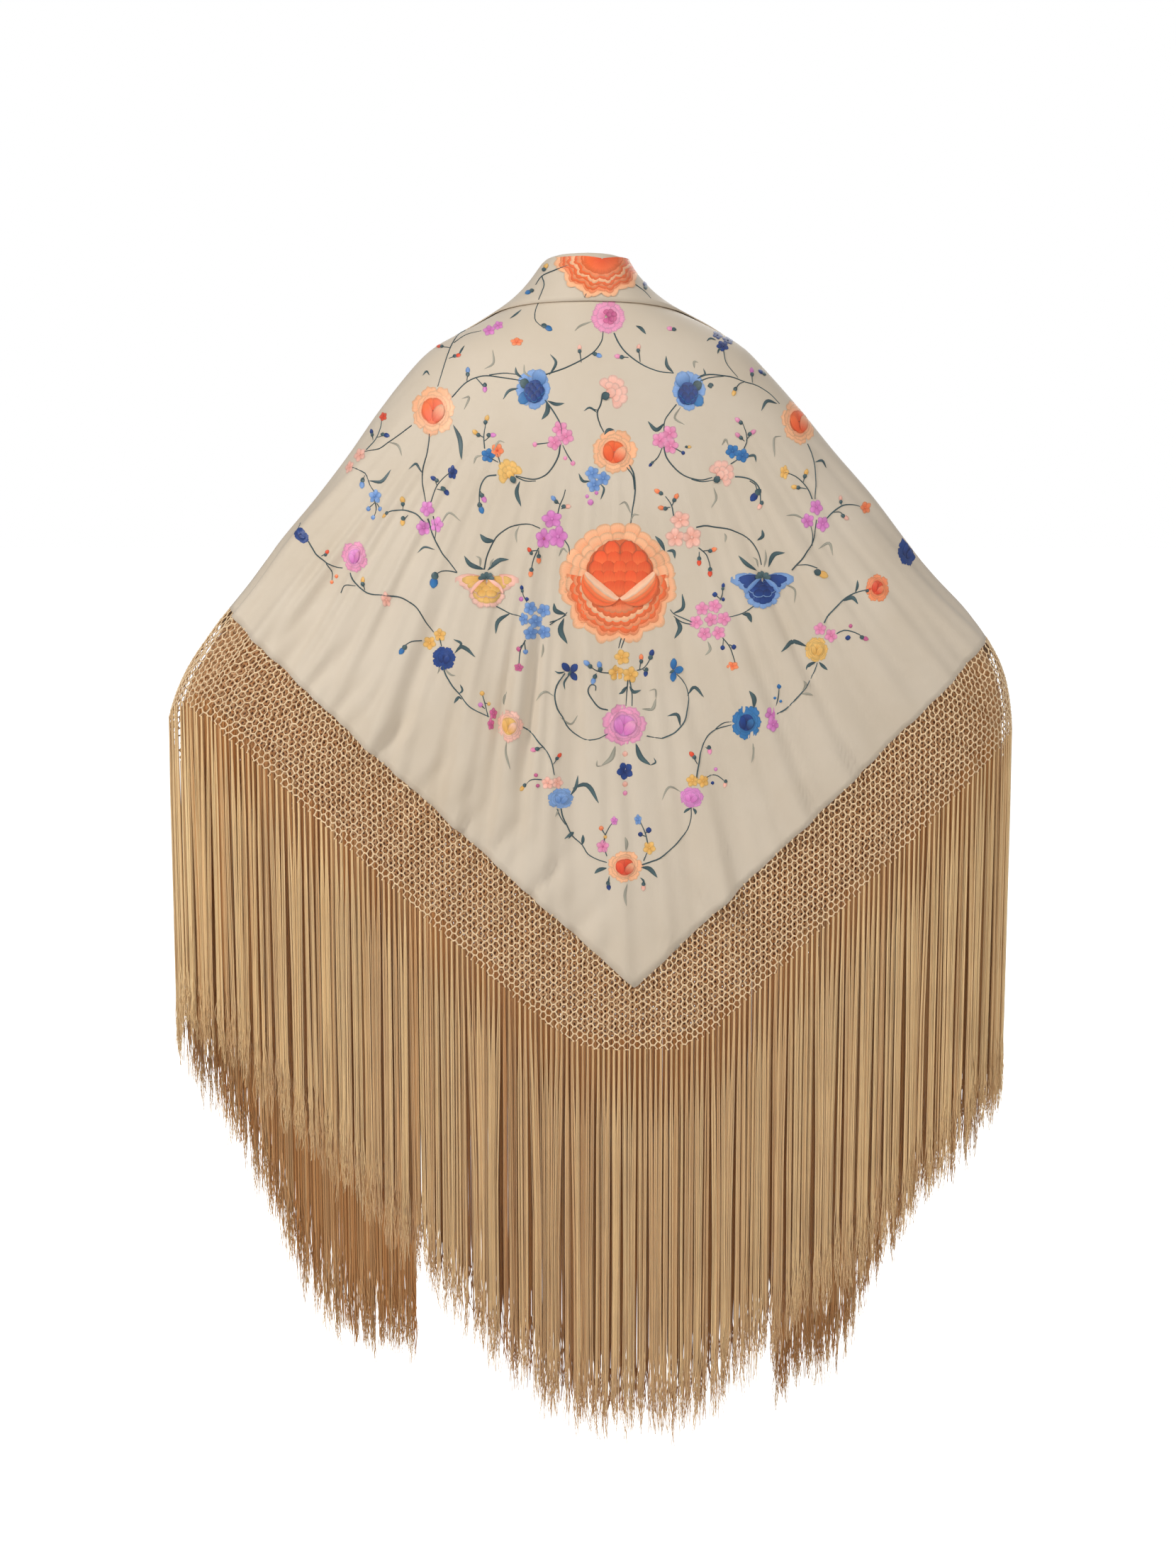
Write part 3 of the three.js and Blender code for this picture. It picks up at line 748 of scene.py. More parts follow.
def knot_template():
    """A ball of eight faces for the knots of the net."""
    bm = bmesh.new()
    bmesh.ops.create_uvsphere(bm, u_segments=4, v_segments=2, radius=1)
    points = np.array([v.co for v in bm.verts])
    faces = np.array([[v.index for v in f.verts] for f in bm.faces])
    bm.free()
    return points, faces


def copies(template, count):
    """The faces of many copies of a template, with the points of each copy numbered in turn."""
    points, faces = template
    shift = np.arange(count)[:, None, None] * len(points)
    return (faces[None] + shift).reshape(-1, faces.shape[1])


def bent_tubes(template, lines, out, radius):
    """Points of tubes along lines (count, levels, 3), facing out, with a radius at each level."""
    points, _ = template
    level = np.rint(points[:, 2]).astype(int)
    along = unit(np.gradient(lines, axis=1))
    side = unit(np.cross(out, along))
    face = np.cross(along, side)
    ring = points[:, 0, None] * side[:, level] + points[:, 1, None] * face[:, level]
    return lines[:, level] + ring * radius[:, level, None]


def joined(name, parts, material):
    """One piece from groups of copies, each given as points (count, n, 3), faces and shades."""
    all_points, all_faces, tones, start = [], [], [], 0
    for points, faces, shade in parts:
        all_faces += (faces + start).tolist()
        all_points.append(points.reshape(-1, 3))
        tones.append(np.repeat(shade, points.shape[1]))
        start += points.shape[0] * points.shape[1]
    mesh = bpy.data.meshes.new(name)
    mesh.from_pydata(np.concatenate(all_points) * MM, [], all_faces)
    mesh.polygons.foreach_set("use_smooth", np.ones(len(mesh.polygons), bool))
    layer = mesh.attributes.new("shade", "FLOAT", "POINT")
    layer.data.foreach_set("value", np.concatenate(tones).astype(np.float32))
    mesh.materials.append(material)
    mesh.update()
    piece = bpy.data.objects.new(name, mesh)
    bpy.context.scene.collection.objects.link(piece)
    return piece


def triangles(piece):
    return sum(len(face.vertices) - 2 for face in piece.data.polygons)


# %% [markdown]
# The net is knotted so that upright cords lean to their neighbours by turns, and a knot ties each
# pair where they meet. That gives six-sided meshes. Knots therefore stand in columns an even walk
# apart and in rows at fixed heights, shifted left and right by turns. Some ties are left out along
# zigzag lines, which gives the larger meshes of the pattern, and small shifts loosen the grid.

# %% The net's pattern
# The inner layer's net is real, but it is tied closer than the outer one, with far thicker cords in
# dark tones: painted shade that fills the gaps of the outer net.
NET_MESH, INNER_NET_MESH = 6.5, 4.3
ROW_SHARE, LEAN, INNER_LEAN = 0.72, 0.2, 0.08
CORD_RADIUS, INNER_CORD_RADIUS, KNOT_RADIUS = 0.92, 2.7, 1.5
ZIGZAG_REPEAT, ZIGZAG_WAVE = 9, 14
EDGES = {
    "front_left": (-2, -1),
    "back_left": (-1, CENTRE),
    "back_right": (CENTRE, 1),
    "front_right": (1, 2),
}


def net_middle(u):
    return (hem_at(u) + net_at(u)) / 2


def net_piece(name, columns, number, mesh_size, surface, shorter, with_knots):
    """A run of net; number counts its first column from the left end of the whole net."""
    place, row_height = np.arange(len(columns)), mesh_size * ROW_SHARE
    column = number + place
    own = (place > 0) | (columns[0] == -2)
    top, low = hem_at(columns) + shorter, net_at(columns) + shorter
    first = np.ceil(-top / row_height).astype(int)
    last = np.floor(-low / row_height).astype(int)
    rows = np.arange(first.min(), last.max() + 1)[:, None]
    inside = (rows >= first) & (rows <= last)
    leans_right = (rows + column) % 2 == 0
    lean = LEAN if with_knots else INNER_LEAN
    lean = np.where(leans_right, lean, -lean) + chance.normal(0, 0.05, inside.shape)
    u = columns + np.gradient(columns) * lean
    u = np.where(np.abs(columns) == 2, columns, np.clip(u, -2, 2))
    z = -rows * row_height + chance.normal(0, 0.07 * mesh_size, inside.shape)
    points, out = surface(u, z), normal_of(surface, u, z)
    tied = inside[:-1] & inside[1:] & own
    wave = np.abs(column % ZIGZAG_WAVE - ZIGZAG_WAVE / 2)
    long_mesh = ((rows - first - wave) % ZIGZAG_REPEAT < 1.5) & with_knots
    level = inside[:, :-1] & inside[:, 1:] & (leans_right & ~long_mesh)[:, :-1]
    hung = surface(columns, top)[own]
    starts = points[first - rows[0, 0], place][own]
    lines = [(points[:-1][tied], points[1:][tied]), (points[:, :-1][level], points[:, 1:][level]),
             (hung, starts)]
    lines = np.concatenate([np.stack(ends, 1) for ends in lines])
    outs = np.concatenate([out[:-1][tied], out[:, :-1][level],
                           normal_of(surface, columns, top)[own]])
    outs = np.repeat(outs[:, None], 2, 1)
    tube = tube_template(4 if with_knots else 3, 1)
    thick = CORD_RADIUS if with_knots else INNER_CORD_RADIUS
    radius = np.full(lines.shape[:2], thick) * chance.uniform(0.85, 1.15, (len(lines), 1))
    # The outer cords differ at random; the inner cords take the dark end, as painted shade.
    shade = chance.uniform(0.7, 1, len(lines)) if with_knots else chance.uniform(0, 0.45, len(lines))
    parts = [(bent_tubes(tube, lines, outs, radius), copies(tube, len(lines)), shade)]
    if with_knots:
        knot = knot_template()
        at = points[inside & own]
        size = KNOT_RADIUS * chance.uniform(0.8, 1.2, len(at))
        spread = at[:, None] + knot[0][None] * size[:, None, None]
        parts.append((spread, copies(knot, len(at)), chance.uniform(0.85, 1, len(at))))
    made = joined(name, parts, net_yarn)
    return made, columns[own], z[last - rows[0, 0], place][own]


net_ends = {}
nets = []
for layer, mesh_size, surface, shorter in (("", NET_MESH, folded_point, 0),
                                           ("inner_", INNER_NET_MESH, inner_point, INNER_SHORTER)):
    number = 0
    for edge, (start, end) in EDGES.items():
        columns = even_columns(start, end, mesh_size, net_middle)
        piece, *hooks = net_piece(f"{layer}knotted_net_{edge}", columns, number, mesh_size, surface,
                                  shorter, layer == "")
        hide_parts(f"{layer}net_{edge}")
        net_ends[layer + edge] = hooks
        nets.append(piece)
        number += len(columns) - 1
print("net triangles", [triangles(piece) for piece in nets])

# %% [markdown]
# Every column of the net ends in a bundle of long strands. They leave the last knot together,
# spread into a flat lock, hang straight and part again near the floor, where the silk is frayed
# and wavy. Neighbouring bundles drift together and leave gaps between them. The strands are
# three-sided tubes that narrow to half at their ends, each bent by its own numbers.

# %% The fringe
FRINGE_LENGTH = table("at length", [
    (-2, 536),
    (-1.91, 560),
    (-1.74, 590),
    (-1.59, 520),
    (-1.5, 462),
    (-1.36, 430),
    (-1, 425),
    (-0.62, 427),
    (-0.46, 439),
    (-0.33, 452),
    (-0.25, 474),
    (-0.13, 503),
    (0, 505),
    (0.5, 500),
    (0.75, 476),
    (1, 480),
    (1.27, 476),
    (1.5, 458),
    (1.65, 498),
    (1.75, 545),
    (1.83, 560),
    (1.93, 522),
    (2, 530),
])
STRANDS, INNER_STRANDS = 16, 6
STRAND_SHARES = np.array([0, 0.05, 0.22, 0.55, 0.84, 0.9, 0.95, 1])
STRAND_STEPS = len(STRAND_SHARES) - 1
STRAND_RADIUS, INNER_STRAND_RADIUS = 0.55, 1.0
BUNDLE_HALF, INNER_BUNDLE_HALF = 2.7, 2.6
CLUMP_START, CLUMP_PULL, CLUMP_SHADE = 0.6, 0.36, 0.12
# Painted shade: the fringe is made darker near the spine, by at most this much of its tone.
CENTRE_PAINTED_SHADE = 0.24
# The inner layer's strands are the same golden silk; their low tone is painted shade between the two
# layers.
OUTER_SHADE, INNER_PAINTED_SHADE = 0.86, 0.1
INNER_FRINGE_SHORTER = 12


def fringe_piece(name, columns, ends, surface, per_column, thick, half, tone, shorter):
    count = len(columns)
    u = np.repeat(columns, per_column)
    top_z = np.repeat(ends, per_column)
    total = len(u)
    root = surface(u, top_z)
    out = normal_of(surface, u, top_z)
    out[:, 2] = 0
    out = unit(out)
    side = np.stack([-out[:, 1], out[:, 0], np.zeros(total)], -1)
    bundle_length = chance.normal(0, 9, count)
    length = smooth(FRINGE_LENGTH, "at", "length", u) - shorter + np.repeat(bundle_length, per_column)
    length = length + chance.uniform(-34, 10, total)
    share = STRAND_SHARES
    spread = mix(0.35, 1, ease(share, 0.02, 0.25))
    across = chance.uniform(-1, 1, total) * half
    deep = chance.uniform(-1, 1, total) * 1.2
    order = np.arange(count)
    clump = np.cumsum(chance.random(count) < CLUMP_START)
    middle = (np.bincount(clump, order) / np.maximum(np.bincount(clump), 1))[clump]
    pull = np.repeat((middle - order) * half * 2 * CLUMP_PULL, per_column)
    clump_tone = chance.normal(0, CLUMP_SHADE, count)[clump - clump[0]]
    bundle_sway = np.repeat(chance.normal(0, 1.2, count), per_column)
    # The inner strands hang as a thick, even sheet, so that their painted shade fills the gaps between
    # the outer locks.
    if surface is inner_point:
        slot = np.tile(np.arange(per_column), count)
        across = across * 0.15 + ((slot + 0.5) / per_column * 2 - 1) * half
        spread, bundle_sway, pull = spread * 0 + 1, bundle_sway * 0.4, pull * 0
    ragged = ease(share, 0.8, 1)
    sway = (across[:, None] * spread + bundle_sway[:, None] * share ** 2
            + pull[:, None] * ease(share, 0.04, 0.5)
            + chance.normal(0, 1, (total, len(share))) * (0.35 * share + 1.8 * ragged))
    depth = deep[:, None] * spread + chance.normal(0, 1.6, (total, len(share))) * ragged
    line = (root[:, None] + side[:, None] * sway[..., None] + out[:, None] * depth[..., None])
    line[..., 2] -= length[:, None] * share
    radius = thick * chance.uniform(0.7, 1.2, total)[:, None] * (1 - ragged * 0.5)[None]
    tube = tube_template(3, STRAND_STEPS)
    # Painted shade: each strand's tone is lowered near the spine.
    darker = CENTRE_PAINTED_SHADE * (1 - ease(np.abs(u), 0.08, 0.45))
    # Painted shade: a strand that lies further in its lock, by deep, is darker.
    shade = np.clip(np.repeat(chance.normal(tone, 0.07, count) + clump_tone, per_column) - darker
                    + chance.normal(0, 0.16, total) + deep * 0.12, 0, 1)
    facing = np.repeat(out[:, None], len(share), 1)
    points = bent_tubes(tube, line, facing, radius)
    return joined(name, [(points, copies(tube, total), shade)], fringe_yarn)


fringes = []
for place_name in EDGES:
    columns, ends = net_ends[place_name]
    piece = fringe_piece(f"silk_fringe_{place_name}", columns, ends, folded_point, STRANDS,
                         STRAND_RADIUS, BUNDLE_HALF, OUTER_SHADE, 0)
    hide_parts(f"fringe_{place_name}")
    fringes.append(piece)
    columns, ends = net_ends["inner_" + place_name]
    piece = fringe_piece(f"inner_silk_fringe_{place_name}", columns, ends, inner_point,
                         INNER_STRANDS, INNER_STRAND_RADIUS, INNER_BUNDLE_HALF, INNER_PAINTED_SHADE,
                         INNER_FRINGE_SHORTER)
    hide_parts(f"inner_fringe_{place_name}")
    fringes.append(piece)
print("fringe triangles", [triangles(piece) for piece in fringes])

# %% [markdown]
# The flowers are worked in satin stitch: long floss threads lie side by side from the heart of a
# petal to its edge, a little proud of the silk. Each petal is a small grid from bmesh, bent to a
# lobe, domed, and laid on the folded cloth. Its colour runs from the heart to the edge as an
# attribute, and a UV map in metres along and across the threads carries their streaks.

# %% Floss silk colours, from the heart of a petal to its edge
PALETTES = {
    "deep": ((232, 82, 34), (246, 118, 62)),
    "orange": ((240, 110, 62), (250, 158, 108)),
    "peach": ((246, 160, 112), (252, 196, 152)),
    "cream": ((246, 180, 142), (250, 212, 180)),
    "red": ((220, 58, 28), (238, 96, 60)),
    "blush": ((236, 166, 146), (246, 200, 184)),
    "yellow": ((222, 164, 76), (240, 196, 116)),
    "pink": ((226, 124, 168), (240, 166, 200)),
    "rose": ((182, 78, 128), (216, 112, 156)),
    "seam": ((196, 92, 54), (220, 122, 78)),
    "lilac": ((206, 108, 182), (228, 148, 210)),
    "navy": ((20, 42, 100), (34, 72, 146)),
    "blue": ((28, 94, 158), (56, 128, 188)),
    "sky": ((88, 130, 192), (136, 172, 222)),
    "dark": ((50, 74, 80), (80, 106, 110)),
    "pale": ((150, 148, 134), (176, 172, 156)),
}


FLOSS_GLOW = 1.16


def shades(name):
    """Two colours in Blender's linear numbers; "deep peach" runs from the first to the second."""
    first, *others = name.split()
    ends = PALETTES[first][0], PALETTES[(others or [first])[0]][1]
    return [np.array(srgb(*colour)[:3]) * FLOSS_GLOW for colour in ends]


# %% A grid for one petal
def patch_template(across, along):
    """Places from -1 to 1 across and from 0 to 1 along, and the faces between them."""
    bm = bmesh.new()
    bmesh.ops.create_grid(bm, x_segments=across, y_segments=along, size=1)
    points = np.array([v.co for v in bm.verts])
    faces = np.array([[v.index for v in f.verts] for f in bm.faces])
    bm.free()
    return points[:, 0], (points[:, 1] + 1) / 2, faces


SMALL_PETAL = patch_template(4, 4)
SCALE = patch_template(6, 6)
LARGE_PETAL = patch_template(8, 5)
BLADE = patch_template(2, 10)
BAND = patch_template(120, 3)
LONG_STRIP = patch_template(16, 3)
EDGE_LIFT, EDGE_DROP = 0.55, 0.06
STITCH_SPREAD, RIM_PAINTED_SHADE = 0.05, 0.3
patches = {"back": [], "front": [], "collar": []}


def u_of(x, z, front):
    """The value of u of a place seen from behind, or from the front, at x and z millimetres."""
    width = np.where(x < 0, smooth(SECTIONS, "z", "left", z), smooth(SECTIONS, "z", "right", z))
    angle = np.degrees(np.arcsin(np.clip(np.abs(x) / width, 0, 0.992)))
    behind = angle / 90
    before = 1 + (90 - angle) / (smooth(OPENING, "z", "turn", z) - 90)
    return np.sign(x) * np.clip(np.where(front, before, behind), 0, 1.998)


def add_patch(side, template, x, z, lift, colour, threads):
    """Keeps one patch of stitching for the piece of its side of the shawl."""
    patches[side].append((np.stack([x, z, lift], -1), template[2], colour, threads))


# %% Petals as lobes of a ring, and petals as ovals
def flower(side, x, z, width, height, turn):
    return {"side": side, "x": x, "z": z, "w": width / 2, "h": height / 2, "turn": math.radians(turn)}


def settle(bloom, a, b):
    """From a flower's own unit plane to x and z on the shawl; turn is counter-clockwise."""
    a, b = a * bloom["w"], b * bloom["h"]
    turn = bloom["turn"]
    right = a * math.cos(turn) - b * math.sin(turn)
    up = b * math.cos(turn) + a * math.sin(turn)
    flip = -1 if bloom["side"] == "front" else 1
    return bloom["x"] + flip * right, bloom["z"] + up


def edge_of(base):
    """The height of the edge of a petal, just above the layer that it lies on."""
    return max(EDGE_LIFT, base - EDGE_DROP)


def petal_colour(palette, s, t):
    heart, edge = shades(palette)
    tint = 1 + chance.normal(0, STITCH_SPREAD)
    share = np.clip(t + chance.normal(0, 0.05), 0, 1)[:, None] ** 1.2
    # Painted shade: each petal is darker at its sides and tip, where it meets its neighbours and dips
    # to the cloth.
    rim = 1 - RIM_PAINTED_SHADE * np.maximum(np.abs(s) ** 8, t ** 12)[:, None]
    return (heart * (1 - share) + edge * share) * tint * rim


def foot_lobes(angle):
    """Six big lobes round the lower half of a large rose, as a share from -1 to 1."""
    away = np.abs(np.degrees(angle) % 360 - 180)
    return np.cos(2 * np.pi * (away - 16) / 32) * (1 - ease(away, 84, 96))


def lobes(bloom, palette, count, inner, outer, base=0.5, start=0, end=360, centre=(0, 0),
          lobe=0.2, frill=0.0, dome=0.2, template=LARGE_PETAL, squash=(1, 1), feet=0.0):
    """A ring, or part of one, of lobed petals between two radii; angles run clockwise from up."""
    s, t, _ = template
    half = math.radians((end - start) / count / 2)
    for k in range(count):
        middle = math.radians(start) + half * (2 * k + 1) + chance.normal(0, half * 0.08)
        reach = outer * (1 + chance.normal(0, 0.025)) * (1 - lobe * np.abs(s) ** 3)
        reach = reach * (1 + frill * np.cos(5 * np.pi * s))
        angle = middle + s * half * 1.12
        reach = reach * (1 + feet * foot_lobes(angle))
        radius = inner + (reach - inner) * t
        a = centre[0] + squash[0] * radius * np.sin(angle)
        b = centre[1] + squash[1] * radius * np.cos(angle)
        rise = (1 - s ** 4) * np.sqrt(np.clip(1 - t ** 6, 0, 1))
        edge = edge_of(base)
        lift = edge + (base - edge + dome * np.sin(np.pi * np.clip(t, 0, 1) ** 0.8)) * rise
        x, z = settle(bloom, a, b)
        threads = np.stack([s * half * outer * bloom["w"], radius * bloom["h"]], -1) * MM
        add_patch(bloom["side"], template, x, z, lift, petal_colour(palette, s, t), threads)


def band(bloom, palette, inner, outer, base, start, end, scallops, depth=0.04, feet=0.0,
         centre=(0, 0)):
    """A continuous band with a scalloped edge; angles run clockwise from up, in degrees."""
    s, t, _ = BAND
    angle = np.radians((start + end) / 2 + s * (end - start) / 2)
    turns = (s + 1) / 2 * scallops + chance.uniform(0, 1)
    reach = outer * (1 - depth * (1 - np.abs(np.sin(np.pi * turns))) ** 1.5)
    reach = reach * (1 + 0.012 * np.sin(5 * angle + chance.uniform(0, 6)) + feet * foot_lobes(angle))
    radius = inner + (reach - inner) * t
    edge = edge_of(base)
    lift = edge + (base - edge) * np.sqrt(1 - t ** 8) + 0.12 * np.sin(np.pi * t)
    x, z = settle(bloom, centre[0] + radius * np.sin(angle), centre[1] + radius * np.cos(angle))
    threads = np.stack([angle * outer * bloom["w"], radius * bloom["h"]], -1) * MM
    add_patch(bloom["side"], BAND, x, z, lift, petal_colour(palette, s * 0, t), threads)


def crescent(bloom, palette, foot, tip, near, far, base, blunt=0.6):
    """A curved strip from a foot to a tip, between two offsets from the line that joins them."""
    s, t, _ = LONG_STRIP
    along = (s + 1) / 2
    run = np.array(tip) - foot
    side = np.array([run[1], -run[0]]) * np.sign(run[0]) / np.hypot(*run)
    offset = mix(near, far, t) * np.sin(np.pi * np.clip(along, 0.01, 0.99)) ** blunt
    a = foot[0] + run[0] * along + side[0] * offset
    b = foot[1] + run[1] * along + side[1] * offset
    edge = edge_of(base)
    lift = edge + (base - edge) * (1 - (2 * t - 1) ** 8) ** 0.5
    x, z = settle(bloom, a, b)
    threads = np.stack([offset * bloom["w"], along * bloom["h"]], -1) * MM
    add_patch(bloom["side"], LONG_STRIP, x, z, lift, petal_colour(palette, s * 0, t), threads)


def oval(bloom, palette, a, b, length, width, turn=0, base=0.6, dome=0.4, template=SMALL_PETAL,
         blunt=0.5):
    """One oval petal that starts at (a, b) and points along turn, in degrees from up."""
    s, t, _ = template
    turn = math.radians(turn)
    reach = t * length
    across = s * width / 2 * np.sin(np.pi * np.clip(t, 0.02, 0.98)) ** blunt
    right = a + across * math.cos(turn) + reach * math.sin(turn)
    up = b - across * math.sin(turn) + reach * math.cos(turn)
    rise = (1 - s ** 4) * np.sin(np.pi * np.clip(t, 0.02, 0.98)) ** 0.5
    edge = edge_of(base)
    lift = edge + (base - edge + dome) * rise
    x, z = settle(bloom, right, up)
    threads = np.stack([across * bloom["w"], reach * bloom["h"]], -1) * MM
    add_patch(bloom["side"], template, x, z, lift, petal_colour(palette, s, t), threads)


# %% [markdown]
# A few kinds of bloom make the whole pattern, as they do on the real shawl: full roses, small
# stars with five petals, winged blooms under a dark cap, blooms seen from the side, three-petalled
# irises, a frilled carnation and one very large rose. Each kind is a short function that sets
# rings and ovals in a unit circle, so the same recipe serves every size and colour.

# %% Kinds of bloom
SCALE_RISE, LINE_UNDER = 0.08, 0.16


def scales(bloom, heart, line, places, size, base):
    """Scales that overlap downwards, each with a fine line of another colour round its foot."""
    for row, (a, b) in enumerate(places):
        low = base + SCALE_RISE * row
        oval(bloom, line, a, b + 0.01, size + 0.05, size + 0.04, 180, low, 0.02, SCALE, 0.36)
        oval(bloom, heart, a, b, size, size, 180, low + LINE_UNDER, 0.14, SCALE, 0.36)


def rose(bloom, heart, rim):
    between = heart.split()[0] + " " + rim.split()[-1]
    lobes(bloom, rim, 7, 0.4, 1.0, 0.5, 8, 368, lobe=0.2, frill=0.05)
    lobes(bloom, rim, 6, 0.3, 0.8, 0.8, 34, 394, lobe=0.18, frill=0.03)
    lobes(bloom, between, 5, 0.2, 0.66, 1.1, 16, 376, lobe=0.14)
    lobes(bloom, heart, 5, 0.02, 0.52, 1.4, 0, 360, lobe=0.1)
    oval(bloom, heart, -0.16, -0.4, 0.8, 0.46, -14, 1.7, 0.3, LARGE_PETAL)
    oval(bloom, between, 0.06, -0.44, 0.76, 0.5, 30, 2.0, 0.3, LARGE_PETAL)


def five(bloom, heart, rim):
    turn = chance.uniform(0, 72)
    for k in range(5):
        angle = turn + 72 * k
        a, b = 0.14 * math.sin(math.radians(angle)), 0.14 * math.cos(math.radians(angle))
        oval(bloom, rim, a, b, 1.0, 0.98, angle, 0.5, 0.3)
    oval(bloom, heart, 0, -0.18, 0.36, 0.36, 0, 1.1, 0.3)


def winged(bloom, heart, rim):
    """Two broad wings, a round body with a scalloped edge and a dark cap."""
    for sign in (-1, 1):
        oval(bloom, rim, 0.06 * sign, 0.32, 0.97, 0.7, 86 * sign, 0.6, 0.25, LARGE_PETAL, 0.4)
        oval(bloom, rim, 0.02 * sign, 0.3, 0.8, 0.66, 108 * sign, 0.7, 0.25, LARGE_PETAL, 0.4)
        oval(bloom, heart, 0.04 * sign, 0.34, 0.76, 0.5, 86 * sign, 0.95, 0.25, LARGE_PETAL, 0.4)
        oval(bloom, heart, 0.02 * sign, 0.26, 0.62, 0.4, 110 * sign, 1.05, 0.25, LARGE_PETAL, 0.4)
    lobes(bloom, rim, 9, 0.3, 1.0, 1.0, 72, 288, (0, -0.2), 0.14, 0.03, squash=(0.6, 0.8))
    lobes(bloom, heart, 7, 0.05, 0.8, 1.3, 68, 292, (0, -0.16), 0.08, squash=(0.58, 0.78))
    body = [(-0.16, 0.3), (0.16, 0.3), (-0.26, 0.1), (0.26, 0.1), (0, 0.12), (-0.14, -0.1),
            (0.14, -0.1)]
    scales(bloom, heart, rim, body, 0.34, 1.6)
    for sign in (-1, 1):
        crescent(bloom, rim, (0.0, 0.5), (0.5 * sign, -0.28), -0.02, -0.17, 2.1)
    lobes(bloom, "dark", 5, 0.02, 0.36, 2.2, -100, 100, (0, 0.44), 0.3, squash=(0.75, 1.0))


def peony(bloom, heart, rim, lean):
    """A round heart of scales over pale petals, with a dark cup on the side that it leans from."""
    lobes(bloom, rim, 8, 0.4, 0.96, 0.5, 20, 380, lobe=0.16, frill=0.03)
    oval(bloom, "blue sky", 0.16 * lean, 0.2, 0.8, 0.84, 26 * lean, 0.8, 0.3, LARGE_PETAL, 0.4)
    oval(bloom, "blue", -0.2 * lean, -0.2, 0.74, 0.6, -128 * lean, 0.8, 0.3, LARGE_PETAL, 0.4)
    oval(bloom, "dark", -0.24 * lean, 0.14, 0.54, 0.52, -62 * lean, 1.1, 0.3)
    lobes(bloom, heart, 9, 0.02, 0.56, 1.4, 0, 360, (0.06 * lean, -0.14), 0.06)
    heads = [(-0.18, 0.36), (0.2, 0.36), (0.0, 0.2), (-0.36, 0.16), (0.38, 0.16), (-0.18, -0.02),
             (0.2, -0.02), (0.0, -0.2)]
    scales(bloom, heart, "blue", [(a + 0.06 * lean, b - 0.06) for a, b in heads], 0.36, 1.56)


def peony_right(bloom, heart, rim):
    peony(bloom, heart, rim, 1)


def peony_left(bloom, heart, rim):
    peony(bloom, heart, rim, -1)


def side_bloom(bloom, heart, rim):
    lobes(bloom, rim, 6, 0.2, 1.0, 0.5, -112, 112, (0, -0.16), squash=(1, 1.1))
    lobes(bloom, rim, 4, 0.1, 0.68, 0.8, -90, 90, (0, -0.24), squash=(1, 1.1))
    oval(bloom, heart, 0, -0.5, 0.66, 0.6, 0, 1.2, 0.3, LARGE_PETAL)
    oval(bloom, "dark", 0, -0.84, 0.54, 0.5, 0, 1.6, 0.4)


def iris(bloom, heart, rim):
    oval(bloom, rim, -0.04, 0.06, 0.94, 0.66, -22, 0.8, 0.4, LARGE_PETAL)
    oval(bloom, heart, 0.08, 0.0, 0.9, 0.66, 68, 1.0, 0.4, LARGE_PETAL)
    oval(bloom, heart, 0.04, -0.1, 0.86, 0.62, 158, 0.9, 0.4, LARGE_PETAL)
    oval(bloom, "dark", -0.3, -0.3, 0.5, 0.24, 48, 1.4, 0.3)


def carnation(bloom, heart, rim):
    lobes(bloom, rim, 13, 0.35, 1.0, 0.5, 0, 360, lobe=0.12, frill=0.05)
    lobes(bloom, rim, 9, 0.2, 0.72, 0.85, 15, 375, lobe=0.14, frill=0.05)
    lobes(bloom, heart, 6, 0.05, 0.48, 1.2, -60, 240, (0.06, 0.02))
    for a, b in ((-0.12, 0.1), (0.18, 0.14), (0.04, -0.16)):
        oval(bloom, heart, a, b, 0.3, 0.34, 80, 1.6, 0.3)


GREAT_FOOT = [
    (1.0, "peach", 0.5),
    (0.89, "orange", 0.72),
    (0.83, "deep", 0.92),
    (0.77, "orange", 1.1),
    (0.72, "deep", 1.28),
    (0.65, "peach", 1.46),
    (0.58, "deep", 1.64),
    (0.51, "orange", 1.8),
]
GREAT_HEART, GREAT_HEART_REACH = (0.03, 0.14), 0.58
V_FOOT, V_TIP = (0.03, -0.24), (0.57, 0.2)
SCALE_STEP, SCALE_SIZE = 0.16, 0.27


